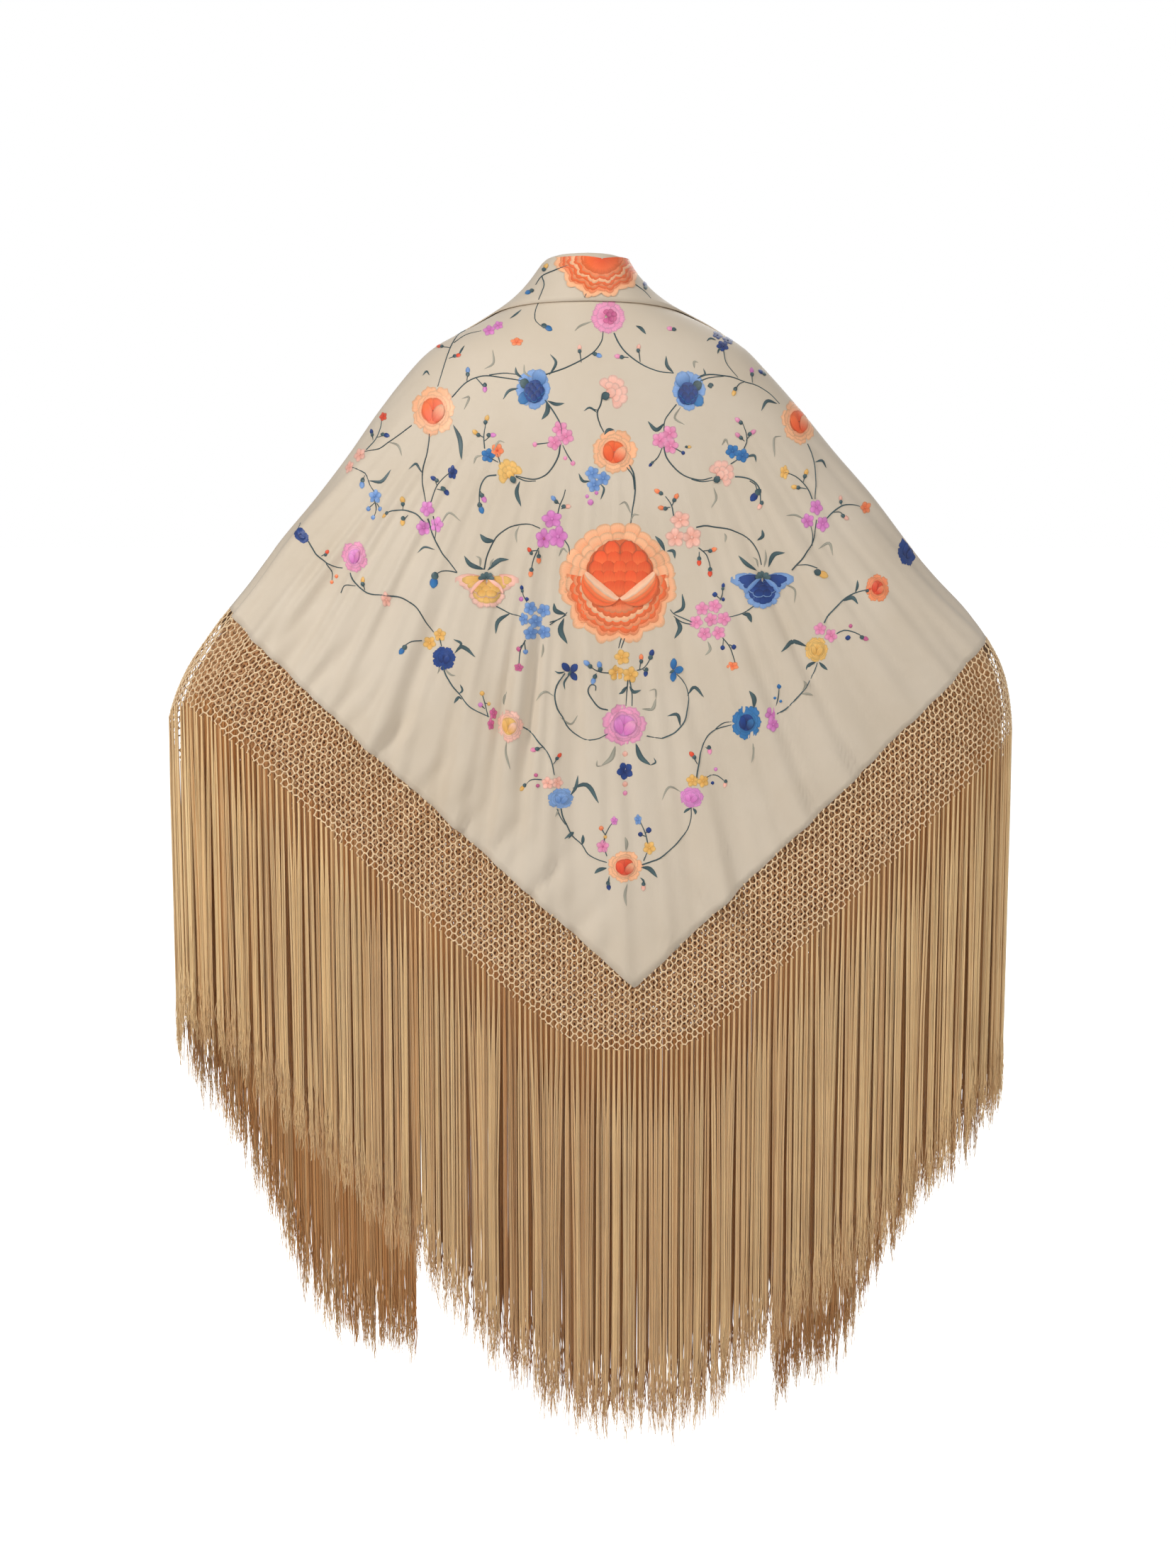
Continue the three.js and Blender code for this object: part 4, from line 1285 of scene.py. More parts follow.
def great_rose(bloom, heart, rim):
    """The large rose: narrow scalloped bands, a heart of scales and pale petals that make a V."""
    for reach, palette, base in GREAT_FOOT:
        band(bloom, palette, reach - 0.2, reach, base, 80, 280, 15, 0.05, 0.055 * reach ** 3)
    for reach, base in ((1.0, 0.5), (0.86, 0.8), (0.73, 1.1)):
        lobes(bloom, rim, 13, reach - 0.24, reach, base, -99, 99, lobe=0.06, dome=0.1)
    band(bloom, heart, 0.02, GREAT_HEART_REACH, 1.9, 0, 360, 17, 0.03, centre=GREAT_HEART)
    up, row = GREAT_HEART[1] + 0.45, 0
    while up > V_FOOT[1] + 0.1:
        room = math.sqrt(0.5 ** 2 - (up - GREAT_HEART[1]) ** 2)
        half = max(0.02, min(room, 1.3 * (up - V_FOOT[1])) - 0.08)
        places = np.linspace(-half, half, max(1, round(2 * half / 0.2) + 1))
        for a in places:
            scales(bloom, heart, "seam", [(GREAT_HEART[0] + a, up + 0.1)], SCALE_SIZE,
                   2.1 + 0.14 * row + chance.uniform(0, 0.1))
        up, row = up - SCALE_STEP, row + 1
    for sign in (-1, 1):
        tip = V_FOOT[0] + sign * V_TIP[0], V_TIP[1]
        crescent(bloom, "deep", V_FOOT, tip, 0.22, 0.36, 3.1, 0.4)
        crescent(bloom, "orange deep", V_FOOT, tip, 0.13, 0.26, 3.3, 0.34)
        crescent(bloom, "peach orange", V_FOOT, tip, 0.07, 0.19, 3.5, 0.3)
        crescent(bloom, "cream", V_FOOT, tip, 0.0, 0.12, 3.7, 0.26)


BLOOMS = {"rose": rose, "five": five, "winged": winged, "side": side_bloom, "iris": iris,
          "carnation": carnation, "great": great_rose, "peony left": peony_left,
          "peony right": peony_right}


BUD_GROWTH, SEED_GROWTH = 1.3, 1.2


def bud(side, x, z, length, turn, palette):
    """A bud with its dark cup; turn is the way it points, in degrees from up."""
    length *= BUD_GROWTH
    bloom = flower(side, x, z, length, length, turn)
    oval(bloom, palette, 0, -0.35, 1.35, 0.95, 0, 0.7, 0.6)
    oval(bloom, "dark", 0, -1.0, 1.0, 0.85, 0, 0.9, 0.6)


def seed(side, x, z, size, palette):
    size *= SEED_GROWTH
    oval(flower(side, x, z, size, size, 0), palette, 0, -1, 2, 2, 0, 0.6, 0.5)


# %% Stems and leaves
STEM_RADIUS = 0.94
LONG_STEM, LONG_STEPS, SHORT_STEPS = 40, 22, 8
stems = {"back": [], "front": [], "collar": []}


def curve_through(points, count):
    """Evenly spaced places on a smooth curve through a few points."""
    points = np.array(points, float)
    run = np.append(0, np.cumsum(np.linalg.norm(np.diff(points, axis=0), axis=1)))
    rows = {"run": run, "x": points[:, 0], "z": points[:, 1]}
    at = np.linspace(0, run[-1], count + 1)
    return np.stack([smooth(rows, "run", "x", at), smooth(rows, "run", "z", at)], -1), run[-1]


def stem(side, points):
    _, length = curve_through(points, 1)
    steps = LONG_STEPS if length > LONG_STEM else SHORT_STEPS
    stems[side].append(curve_through(points, steps)[0])


def leaf(side, points, width, palette):
    """A slender blade along a curve, pointed at both ends."""
    s, t, _ = BLADE
    line, length = curve_through(points, 10)
    step = np.rint(t * 10).astype(int)
    along = unit(np.gradient(line, axis=0))[step]
    half = max(0.82 * width, 1.6) / 2 * np.sin(np.pi * np.clip(t, 0.01, 0.99)) ** 0.8
    flip = -1 if side == "front" else 1
    x = line[step, 0] + flip * s * half * along[:, 1]
    z = line[step, 1] - flip * s * half * along[:, 0]
    lift = EDGE_LIFT + 0.55 * (1 - s ** 2) * np.sin(np.pi * np.clip(t, 0.01, 0.99)) ** 0.4
    threads = np.stack([s * half, t * length], -1) * MM
    add_patch(side, BLADE, x, z, lift, petal_colour(palette, s, t), threads)


# %% [markdown]
# The layout of the back was read off enlarged views of the photograph, one mark at a time, and it
# stays as it was read: columns and rows of the picture, and sizes in its pixels.
# The back is curved, so we follow each line of sight from the camera until it meets the cloth.
# Every row is one bloom, bud, seed, stem or leaf. The two halves answer each other, but no two
# stems are alike. The great rose alone is placed in millimetres, where the folds lie flatter.

# %% From the photograph to the cloth
MIDDLE_COLUMN, MIDDLE_ROW = 829.5, 1106
FOCUS_PIXELS = 3072
MM_OF_PIXEL = 0.86
SIGHT_START, SIGHT_STEPS = -130, 30


def on_cloth(column, row):
    """Millimetres right of the spine and up from the neck's base, for a place in the photo."""
    right = (column - MIDDLE_COLUMN) / FOCUS_PIXELS
    up = (MIDDLE_ROW - row) / FOCUS_PIXELS
    away = math.cos(CAMERA_TIP) + up * math.sin(CAMERA_TIP)
    rise = up * math.cos(CAMERA_TIP) - math.sin(CAMERA_TIP)
    y = SIGHT_START
    for _ in range(SIGHT_STEPS):
        reach = (y + CAMERA_DISTANCE / MM) / away
        x = right * reach
        z = CAMERA_HEIGHT / MM + rise * reach
        half = np.interp(z, SECTIONS["z"], SECTIONS["left" if x < 0 else "right"])
        depth = np.interp(z, SECTIONS["z"], SECTIONS["back"])
        y = -depth * math.sqrt(1 - min(1, abs(x / half)) ** 2)
    return round(float(x)), round(float(z))


def real_size(pixels):
    """Whole millimetres for a size in the photo's pixels."""
    return round(pixels * MM_OF_PIXEL)


# %% Blooms of the back
BLOOM_ROWS = [
    ("rose", 612, 580, 64, 70, 0, "deep", "peach"),
    ("rose", 866, 638, 62, 62, 0, "deep", "peach"),
    ("rose", 1126, 596, 54, 64, 10, "deep", "peach"),
    ("rose", 498, 785, 40, 44, 20, "lilac", "pink"),
    ("rose", 719, 1023, 38, 46, 0, "yellow", "blush"),
    ("rose", 1053, 1019, 42, 48, 0, "navy", "blue"),
    ("rose", 881, 1024, 62, 60, 0, "lilac", "pink"),
    ("rose", 881, 1222, 50, 46, 0, "red", "peach"),
    ("peony right", 752, 549, 50, 56, 0, "navy", "sky"),
    ("peony left", 971, 552, 50, 56, 0, "navy", "sky"),
    ("rose", 626, 928, 34, 34, 0, "navy", "navy"),
    ("rose", 1153, 917, 34, 36, 0, "yellow", "yellow"),
    ("rose", 791, 1127, 36, 30, 0, "sky", "sky"),
    ("rose", 976, 1125, 34, 30, 0, "lilac", "lilac"),
    ("rose", 1237, 829, 36, 40, -20, "red", "orange"),
    ("rose", 1283, 775, 34, 44, -30, "navy", "navy"),
    ("rose", 429, 757, 22, 18, -40, "navy", "navy"),
    ("carnation", 858, 448, 46, 46, 0, "rose", "pink"),
    ("winged", 687, 829, 87, 56, 0, "yellow", "blush"),
    ("winged", 1076, 828, 87, 58, 0, "navy", "sky"),
    ("side", 865, 553, 46, 44, -60, "blush", "blush"),
    ("side", 718, 666, 34, 40, 30, "yellow", "yellow"),
    ("side", 1018, 668, 38, 40, -40, "blush", "blush"),
    ("iris", 804, 948, 30, 32, 20, "navy", "navy"),
    ("iris", 950, 945, 28, 34, -20, "blue", "blue"),
    ("five", 790, 605, 20, 20, 0, "pink", "pink"),
    ("five", 782, 625, 19, 19, 0, "pink", "pink"),
    ("five", 799, 616, 20, 20, 0, "pink", "pink"),
    ("five", 930, 621, 20, 20, 0, "pink", "pink"),
    ("five", 945, 612, 20, 20, 0, "pink", "pink"),
    ("five", 946, 629, 20, 20, 0, "pink", "pink"),
    ("five", 603, 718, 19, 20, 0, "lilac", "lilac"),
    ("five", 598, 745, 18, 20, 0, "lilac", "lilac"),
    ("five", 617, 740, 18, 20, 0, "lilac", "lilac"),
    ("five", 1152, 715, 19, 20, 0, "lilac", "lilac"),
    ("five", 1140, 735, 18, 19, 0, "lilac", "lilac"),
    ("five", 1161, 739, 18, 20, 0, "lilac", "lilac"),
    ("five", 779, 732, 26, 22, 0, "lilac", "lilac"),
    ("five", 767, 760, 20, 26, 0, "rose", "lilac"),
    ("five", 787, 757, 24, 28, 0, "lilac", "lilac"),
    ("five", 959, 733, 26, 22, 0, "blush", "blush"),
    ("five", 952, 758, 24, 24, 0, "blush", "blush"),
    ("five", 976, 758, 24, 28, 0, "blush", "blush"),
    ("five", 748, 858, 16, 17, 0, "sky", "sky"),
    ("five", 767, 861, 18, 18, 0, "sky", "sky"),
    ("five", 739, 873, 12, 16, 0, "sky", "sky"),
    ("five", 755, 877, 19, 18, 0, "sky", "sky"),
    ("five", 748, 893, 18, 18, 0, "sky", "sky"),
    ("five", 767, 892, 17, 18, 0, "sky", "sky"),
    ("five", 990, 859, 18, 18, 0, "pink", "pink"),
    ("five", 1008, 855, 17, 18, 0, "pink", "pink"),
    ("five", 982, 878, 18, 18, 0, "pink", "pink"),
    ("five", 1003, 874, 18, 18, 0, "pink", "pink"),
    ("five", 1021, 873, 18, 18, 0, "pink", "pink"),
    ("five", 993, 894, 18, 18, 0, "pink", "pink"),
    ("five", 1013, 892, 18, 18, 0, "pink", "pink"),
    ("five", 620, 896, 16, 16, 0, "yellow", "yellow"),
    ("five", 605, 907, 17, 17, 0, "yellow", "yellow"),
    ("five", 1158, 887, 16, 16, 0, "pink", "pink"),
    ("five", 1174, 896, 17, 17, 0, "pink", "pink"),
    ("five", 877, 927, 20, 20, 0, "yellow", "yellow"),
    ("five", 869, 949, 20, 20, 0, "yellow", "yellow"),
    ("five", 889, 951, 20, 21, 0, "yellow", "yellow"),
    ("five", 773, 1104, 16, 16, 0, "blush", "blush"),
    ("five", 787, 1104, 14, 16, 0, "blush", "blush"),
    ("five", 977, 1101, 15, 16, 0, "yellow", "yellow"),
    ("five", 992, 1102, 15, 16, 0, "yellow", "yellow"),
    ("five", 1087, 1007, 18, 18, 0, "lilac", "lilac"),
    ("five", 1089, 1022, 18, 18, 0, "lilac", "lilac"),
    ("five", 695, 1007, 9, 15, 0, "rose", "rose"),
    ("five", 692, 1022, 8, 15, 0, "rose", "rose"),
    ("five", 850, 1194, 16, 18, 0, "rose", "pink"),
    ("five", 916, 1196, 16, 18, 0, "yellow", "yellow"),
    ("five", 882, 1088, 21, 22, 0, "navy", "navy"),
    ("five", 689, 643, 17, 17, 0, "blue", "blue"),
    ("five", 702, 635, 16, 17, 0, "red", "orange"),
    ("five", 1033, 637, 17, 17, 0, "blue", "blue"),
    ("five", 1047, 642, 17, 17, 0, "blue", "blue"),
    ("five", 836, 668, 17, 18, 0, "sky", "sky"),
    ("five", 851, 675, 17, 18, 0, "sky", "sky"),
    ("five", 838, 685, 17, 18, 0, "sky", "sky"),
    ("five", 690, 466, 16, 14, 0, "lilac", "lilac"),
    ("five", 703, 459, 13, 12, 0, "lilac", "lilac"),
    ("five", 1012, 473, 14, 12, 0, "navy", "navy"),
    ("five", 1027, 481, 16, 12, 0, "navy", "navy"),
    ("five", 1019, 488, 16, 14, 0, "navy", "navy"),
    ("five", 509, 643, 19, 19, 0, "blush", "blush"),
    ("five", 494, 660, 14, 18, 0, "blush", "blush"),
    ("five", 527, 699, 17, 18, 0, "sky", "sky"),
    ("five", 541, 588, 12, 12, 0, "red", "red"),
    ("five", 729, 483, 16, 10, 0, "orange", "orange"),
    ("five", 639, 666, 12, 18, 0, "navy", "navy"),
    ("five", 1106, 666, 12, 18, 0, "yellow", "yellow"),
    ("five", 1222, 716, 15, 15, 0, "orange", "orange"),
    ("five", 1033, 939, 15, 12, 0, "orange", "orange"),
    ("five", 732, 941, 12, 11, 0, "rose", "rose"),
    ("five", 545, 846, 12, 20, 0, "blush", "blush"),
    ("five", 900, 1156, 9, 14, 0, "sky", "sky"),
    ("five", 866, 1158, 9, 12, 0, "lilac", "lilac"),
]

# %% Buds and seeds of the back
BUD_ROWS = [
    (645, 502, 9, -80, "red"),
    (621, 489, 9, 80, "red"),
    (771, 462, 13, -120, "blue"),
    (660, 525, 11, 0, "sky"),
    (684, 547, 11, 180, "lilac"),
    (818, 493, 9, 0, "blush"),
    (843, 501, 10, -110, "sky"),
    (686, 592, 10, -20, "yellow"),
    (672, 611, 10, 50, "yellow"),
    (693, 614, 10, -90, "lilac"),
    (682, 702, 12, -150, "lilac"),
    (678, 717, 13, -160, "blue"),
    (613, 676, 11, 60, "navy"),
    (628, 693, 12, -140, "navy"),
    (544, 615, 11, -100, "navy"),
    (525, 611, 9, 20, "navy"),
    (511, 681, 12, 170, "sky"),
    (568, 708, 10, 0, "yellow"),
    (568, 735, 11, 170, "yellow"),
    (544, 726, 9, 130, "yellow"),
    (614, 818, 17, 170, "blue"),
    (459, 779, 8, -30, "red"),
    (512, 821, 10, 0, "yellow"),
    (570, 916, 13, 140, "blue"),
    (782, 705, 11, 40, "sky"),
    (799, 715, 10, -90, "blush"),
    (748, 777, 9, 30, "red"),
    (760, 788, 10, 180, "orange"),
    (749, 807, 10, 170, "orange"),
    (736, 831, 8, 10, "navy"),
    (830, 936, 12, 45, "sky"),
    (846, 940, 12, 10, "sky"),
    (838, 958, 12, 160, "sky"),
    (755, 1057, 11, 110, "pink"),
    (788, 1067, 9, -40, "red"),
    (738, 1111, 10, 140, "yellow"),
    (1001, 1058, 10, -170, "pink"),
    (977, 1066, 10, 40, "red"),
    (1024, 1106, 9, 170, "blush"),
    (858, 1250, 10, -170, "navy"),
    (908, 1251, 10, 180, "blush"),
    (874, 503, 10, 80, "pink"),
    (901, 492, 9, -10, "blush"),
    (1060, 525, 11, 0, "lilac"),
    (1036, 552, 11, 160, "yellow"),
    (1075, 526, 11, 60, "navy"),
    (947, 464, 11, 80, "pink"),
    (1042, 594, 10, 50, "pink"),
    (1042, 615, 10, 50, "pink"),
    (1061, 611, 10, -60, "pink"),
    (919, 655, 7, 140, "navy"),
    (970, 631, 7, -90, "yellow"),
    (1137, 669, 10, -20, "yellow"),
    (1123, 688, 11, 80, "yellow"),
    (1066, 699, 16, 140, "navy"),
    (1073, 713, 11, 150, "blush"),
    (929, 694, 10, 60, "orange"),
    (935, 717, 10, 80, "orange"),
    (952, 703, 10, -30, "orange"),
    (1005, 776, 11, -70, "orange"),
    (986, 791, 10, 180, "red"),
    (1001, 807, 11, 180, "red"),
    (1020, 828, 8, -10, "navy"),
    (1157, 810, 17, -110, "yellow"),
    (1193, 729, 11, -120, "blush"),
    (1187, 705, 9, 0, "blush"),
    (918, 924, 12, -15, "navy"),
    (904, 929, 11, 0, "orange"),
    (911, 948, 10, 170, "navy"),
    (1217, 900, 11, -110, "rose"),
    (1225, 832, 8, -60, "red"),
]
SEED_ROWS = [
    (523, 728, 6, "sky"),
    (518, 717, 6, "sky"),
    (533, 717, 6, "sky"),
    (744, 845, 5, "navy"),
    (735, 845, 6, "lilac"),
    (732, 915, 6, "rose"),
    (742, 919, 6, "sky"),
    (680, 978, 6, "yellow"),
    (689, 993, 5, "yellow"),
    (678, 994, 6, "lilac"),
    (882, 1064, 7, "blush"),
    (882, 1106, 7, "blush"),
    (882, 1119, 6, "pink"),
    (756, 1092, 5, "rose"),
    (759, 1107, 5, "rose"),
    (854, 1180, 5, "yellow"),
    (848, 1168, 6, "orange"),
    (903, 1177, 6, "navy"),
    (915, 1171, 7, "navy"),
    (808, 653, 6, "pink"),
    (797, 646, 5, "pink"),
    (755, 627, 6, "pink"),
    (833, 708, 7, "lilac"),
    (841, 695, 5, "lilac"),
    (828, 700, 5, "lilac"),
    (1008, 838, 6, "navy"),
    (1020, 845, 5, "navy"),
    (1019, 913, 6, "navy"),
    (1034, 912, 6, "navy"),
    (1099, 969, 6, "blue"),
    (1093, 985, 4, "blue"),
    (1101, 989, 4, "blue"),
    (1199, 883, 5, "rose"),
    (1196, 899, 6, "navy"),
    (1010, 1086, 5, "lilac"),
    (1006, 1105, 5, "navy"),
    (963, 639, 5, "navy"),
    (464, 820, 5, "orange"),
    (470, 811, 5, "orange"),
]

# %% Stems of the back
STEM_ROWS = [
    [(652, 468), (636, 491), (618, 546)],
    [(640, 484), (658, 473), (679, 467)],
    [(621, 489), (636, 491)],
    [(645, 502), (634, 506)],
    [(771, 376), (775, 398), (768, 412), (771, 420)],
    [(762, 424), (756, 438), (755, 452), (764, 461)],
    [(638, 560), (659, 539), (682, 530), (706, 532), (736, 537)],
    [(690, 529), (712, 526), (731, 529)],
    [(684, 547), (672, 533)],
    [(660, 525), (659, 538)],
    [(770, 529), (801, 518), (835, 498), (848, 482), (851, 468)],
    [(818, 493), (820, 511)],
    [(843, 501), (835, 500)],
    [(866, 470), (872, 483), (883, 498), (906, 514), (929, 524), (950, 526)],
    [(874, 503), (886, 504)],
    [(901, 492), (903, 511)],
    [(769, 564), (782, 582), (791, 600), (793, 612)],
    [(790, 627), (788, 643), (778, 661), (768, 672), (752, 676), (728, 671)],
    [(728, 673), (742, 679), (756, 678)],
    [(808, 653), (800, 640), (794, 628)],
    [(755, 627), (775, 625)],
    [(700, 670), (686, 673), (678, 684), (676, 700), (677, 717)],
    [(682, 702), (676, 690)],
    [(684, 633), (683, 615), (686, 594)],
    [(672, 611), (683, 618)],
    [(693, 614), (684, 622)],
    [(702, 640), (706, 656)],
    [(690, 645), (703, 652)],
    [(605, 612), (603, 640), (596, 668), (597, 690), (601, 708)],
    [(609, 709), (616, 686), (633, 669), (639, 666)],
    [(613, 676), (617, 686)],
    [(628, 693), (617, 690)],
    [(581, 600), (565, 612), (548, 624), (534, 634), (515, 638)],
    [(518, 636), (530, 621), (536, 608), (540, 590)],
    [(525, 611), (527, 622)],
    [(544, 615), (533, 618)],
    [(500, 661), (516, 668), (521, 684), (526, 693)],
    [(527, 704), (528, 716), (524, 728)],
    [(518, 717), (527, 709)],
    [(533, 717), (529, 708)],
    [(511, 681), (515, 671)],
    [(599, 736), (585, 724), (567, 720), (552, 722), (544, 726)],
    [(568, 708), (568, 720)],
    [(568, 735), (575, 727)],
    [(604, 732), (609, 748), (615, 762), (624, 779), (635, 794), (645, 808)],
    [(611, 728), (616, 748), (615, 760)],
    [(645, 808), (632, 805), (622, 806), (614, 813)],
    [(424, 738), (427, 750)],
    [(436, 764), (446, 781), (459, 794), (470, 799), (479, 800)],
    [(459, 779), (452, 784)],
    [(459, 794), (465, 805), (464, 818)],
    [(494, 808), (498, 820), (507, 829), (518, 837), (539, 840), (560, 842)],
    [(539, 840), (567, 844), (590, 858), (603, 880), (611, 892)],
    [(512, 821), (514, 832)],
    [(480, 836), (486, 826), (500, 826)],
    [(620, 900), (623, 912)],
    [(595, 904), (582, 905), (570, 912)],
    [(625, 939), (628, 950), (632, 959), (640, 972), (652, 984), (664, 998), (678, 1006),
     (690, 1012)],
    [(689, 1012), (684, 992), (680, 978)],
    [(689, 993), (684, 992)],
    [(678, 994), (684, 1000)],
    [(683, 803), (687, 785), (694, 769), (701, 757), (712, 748), (724, 742), (747, 740),
     (762, 746)],
    [(700, 855), (710, 860), (719, 865), (735, 870)],
    [(787, 725), (789, 714), (795, 700), (798, 690)],
    [(782, 705), (790, 712)],
    [(799, 715), (792, 718)],
    [(796, 762), (802, 772), (804, 782)],
    [(760, 773), (753, 790), (749, 807)],
    [(748, 777), (757, 776)],
    [(760, 788), (760, 776)],
    [(744, 849), (739, 840), (736, 831)],
    [(741, 902), (735, 918), (732, 941)],
    [(742, 919), (740, 906)],
    [(732, 915), (737, 910)],
    [(776, 882), (785, 876), (799, 868)],
    [(776, 878), (790, 873), (800, 864)],
    [(797, 951), (786, 966), (783, 982), (786, 1000), (793, 1012), (800, 1026), (811, 1036),
     (826, 1043), (842, 1042), (858, 1035)],
    [(858, 1002), (846, 998), (836, 988), (830, 975), (833, 966), (840, 967), (840, 974)],
    [(859, 949), (848, 948), (838, 943), (830, 936)],
    [(846, 940), (844, 946)],
    [(838, 958), (841, 949)],
    [(876, 900), (873, 914)],
    [(881, 900), (877, 914)],
    [(886, 958), (884, 975), (883, 996)],
    [(888, 958), (892, 978), (891, 996)],
    [(899, 946), (907, 943), (913, 938), (918, 926)],
    [(904, 929), (902, 944)],
    [(911, 948), (906, 943)],
    [(738, 1026), (752, 1036), (762, 1049), (772, 1062), (778, 1074), (782, 1092)],
    [(755, 1057), (766, 1054)],
    [(788, 1067), (781, 1078)],
    [(764, 1099), (755, 1098), (748, 1100), (741, 1108)],
    [(791, 1141), (794, 1152), (799, 1165), (808, 1180), (821, 1193), (830, 1206), (842, 1212),
     (856, 1217)],
    [(785, 1141), (790, 1152), (797, 1163)],
    [(856, 1208), (853, 1198)],
    [(852, 1188), (854, 1178), (860, 1167), (866, 1158)],
    [(848, 1168), (854, 1178)],
    [(908, 1214), (913, 1203)],
    [(914, 1190), (911, 1176), (903, 1160)],
    [(903, 1177), (911, 1180)],
    [(915, 1171), (911, 1176)],
    [(906, 1220), (920, 1215), (931, 1211), (949, 1196), (960, 1184), (971, 1171), (975, 1155),
     (975, 1139)],
    [(983, 1098), (984, 1088), (986, 1077), (989, 1062), (995, 1046), (1002, 1035), (1012, 1028),
     (1032, 1022)],
    [(1010, 1028), (1020, 1020), (1032, 1018)],
    [(1001, 1058), (994, 1054)],
    [(977, 1066), (984, 1078)],
    [(997, 1098), (1004, 1094), (1013, 1095), (1022, 1102)],
    [(934, 1042), (950, 1036), (957, 1030), (966, 1017), (970, 1002), (972, 985), (968, 970),
     (962, 958), (955, 951)],
    [(912, 1038), (922, 1041), (934, 1042)],
    [(1095, 1008), (1112, 998), (1129, 979), (1140, 966), (1148, 952), (1154, 935)],
    [(1095, 998), (1098, 984), (1099, 969)],
    [(1163, 879), (1170, 866), (1182, 853), (1193, 843), (1207, 836), (1228, 831)],
    [(1181, 894), (1190, 889), (1199, 890), (1210, 895), (1217, 900)],
    [(1117, 804), (1128, 792), (1137, 780), (1145, 768), (1150, 752), (1152, 733)],
    [(1151, 802), (1137, 797), (1124, 797)],
    [(1145, 770), (1146, 755), (1144, 742)],
    [(1167, 731), (1178, 720), (1190, 713), (1202, 711), (1214, 713)],
    [(1187, 705), (1188, 713)],
    [(1193, 729), (1186, 722), (1176, 722)],
    [(1139, 626), (1145, 640), (1149, 656), (1151, 680), (1150, 704)],
    [(1146, 704), (1141, 692), (1133, 681), (1122, 672), (1108, 666)],
    [(1137, 669), (1134, 680)],
    [(1123, 688), (1131, 688), (1138, 690)],
    [(984, 534), (993, 530), (1002, 528), (1018, 530), (1034, 533), (1050, 539), (1067, 544),
     (1085, 556), (1099, 570)],
    [(988, 538), (1000, 533), (1021, 531)],
    [(1020, 495), (1023, 510), (1030, 521), (1041, 533)],
    [(1060, 525), (1061, 540)],
    [(1036, 552), (1042, 542), (1050, 539)],
    [(954, 571), (945, 583), (938, 594), (936, 608)],
    [(936, 631), (940, 645), (952, 661), (963, 670), (975, 675), (990, 677), (1004, 674)],
    [(975, 676), (990, 680), (1006, 677)],
    [(919, 655), (928, 645), (934, 632)],
    [(963, 639), (948, 631)],
    [(1049, 633), (1054, 622), (1053, 610), (1048, 598)],
    [(1042, 615), (1051, 622)],
    [(1061, 611), (1053, 621)],
    [(1031, 655), (1040, 648)],
    [(1037, 672), (1050, 673), (1062, 678), (1070, 688), (1073, 700), (1073, 711)],
    [(1058, 678), (1066, 684), (1068, 694)],
    [(888, 656), (894, 668), (896, 688), (895, 704), (892, 718), (890, 738)],
    [(884, 660), (892, 672), (895, 690)],
    [(982, 744), (995, 742), (1010, 744), (1026, 746), (1039, 751), (1052, 757), (1061, 765),
     (1070, 780), (1075, 797)],
    [(950, 727), (947, 712), (938, 700)],
    [(935, 717), (946, 716)],
    [(952, 703), (948, 713)],
    [(985, 773), (995, 782), (1000, 794), (1002, 807)],
    [(1005, 776), (992, 777)],
    [(986, 791), (986, 778)],
    [(1064, 855), (1055, 861), (1047, 865), (1036, 869), (1027, 870)],
    [(1015, 847), (1018, 838), (1020, 828)],
    [(1008, 838), (1015, 845)],
    [(1019, 900), (1025, 906), (1030, 913), (1036, 934)],
    [(1019, 913), (1020, 902)],
    [(1034, 912), (1028, 909)],
    [(976, 878), (966, 873), (951, 866), (946, 860)],
    [(976, 881), (962, 878), (951, 869)],
    [(850, 557), (847, 571), (843, 583), (846, 598), (852, 610)],
    [(833, 576), (843, 579)],
]

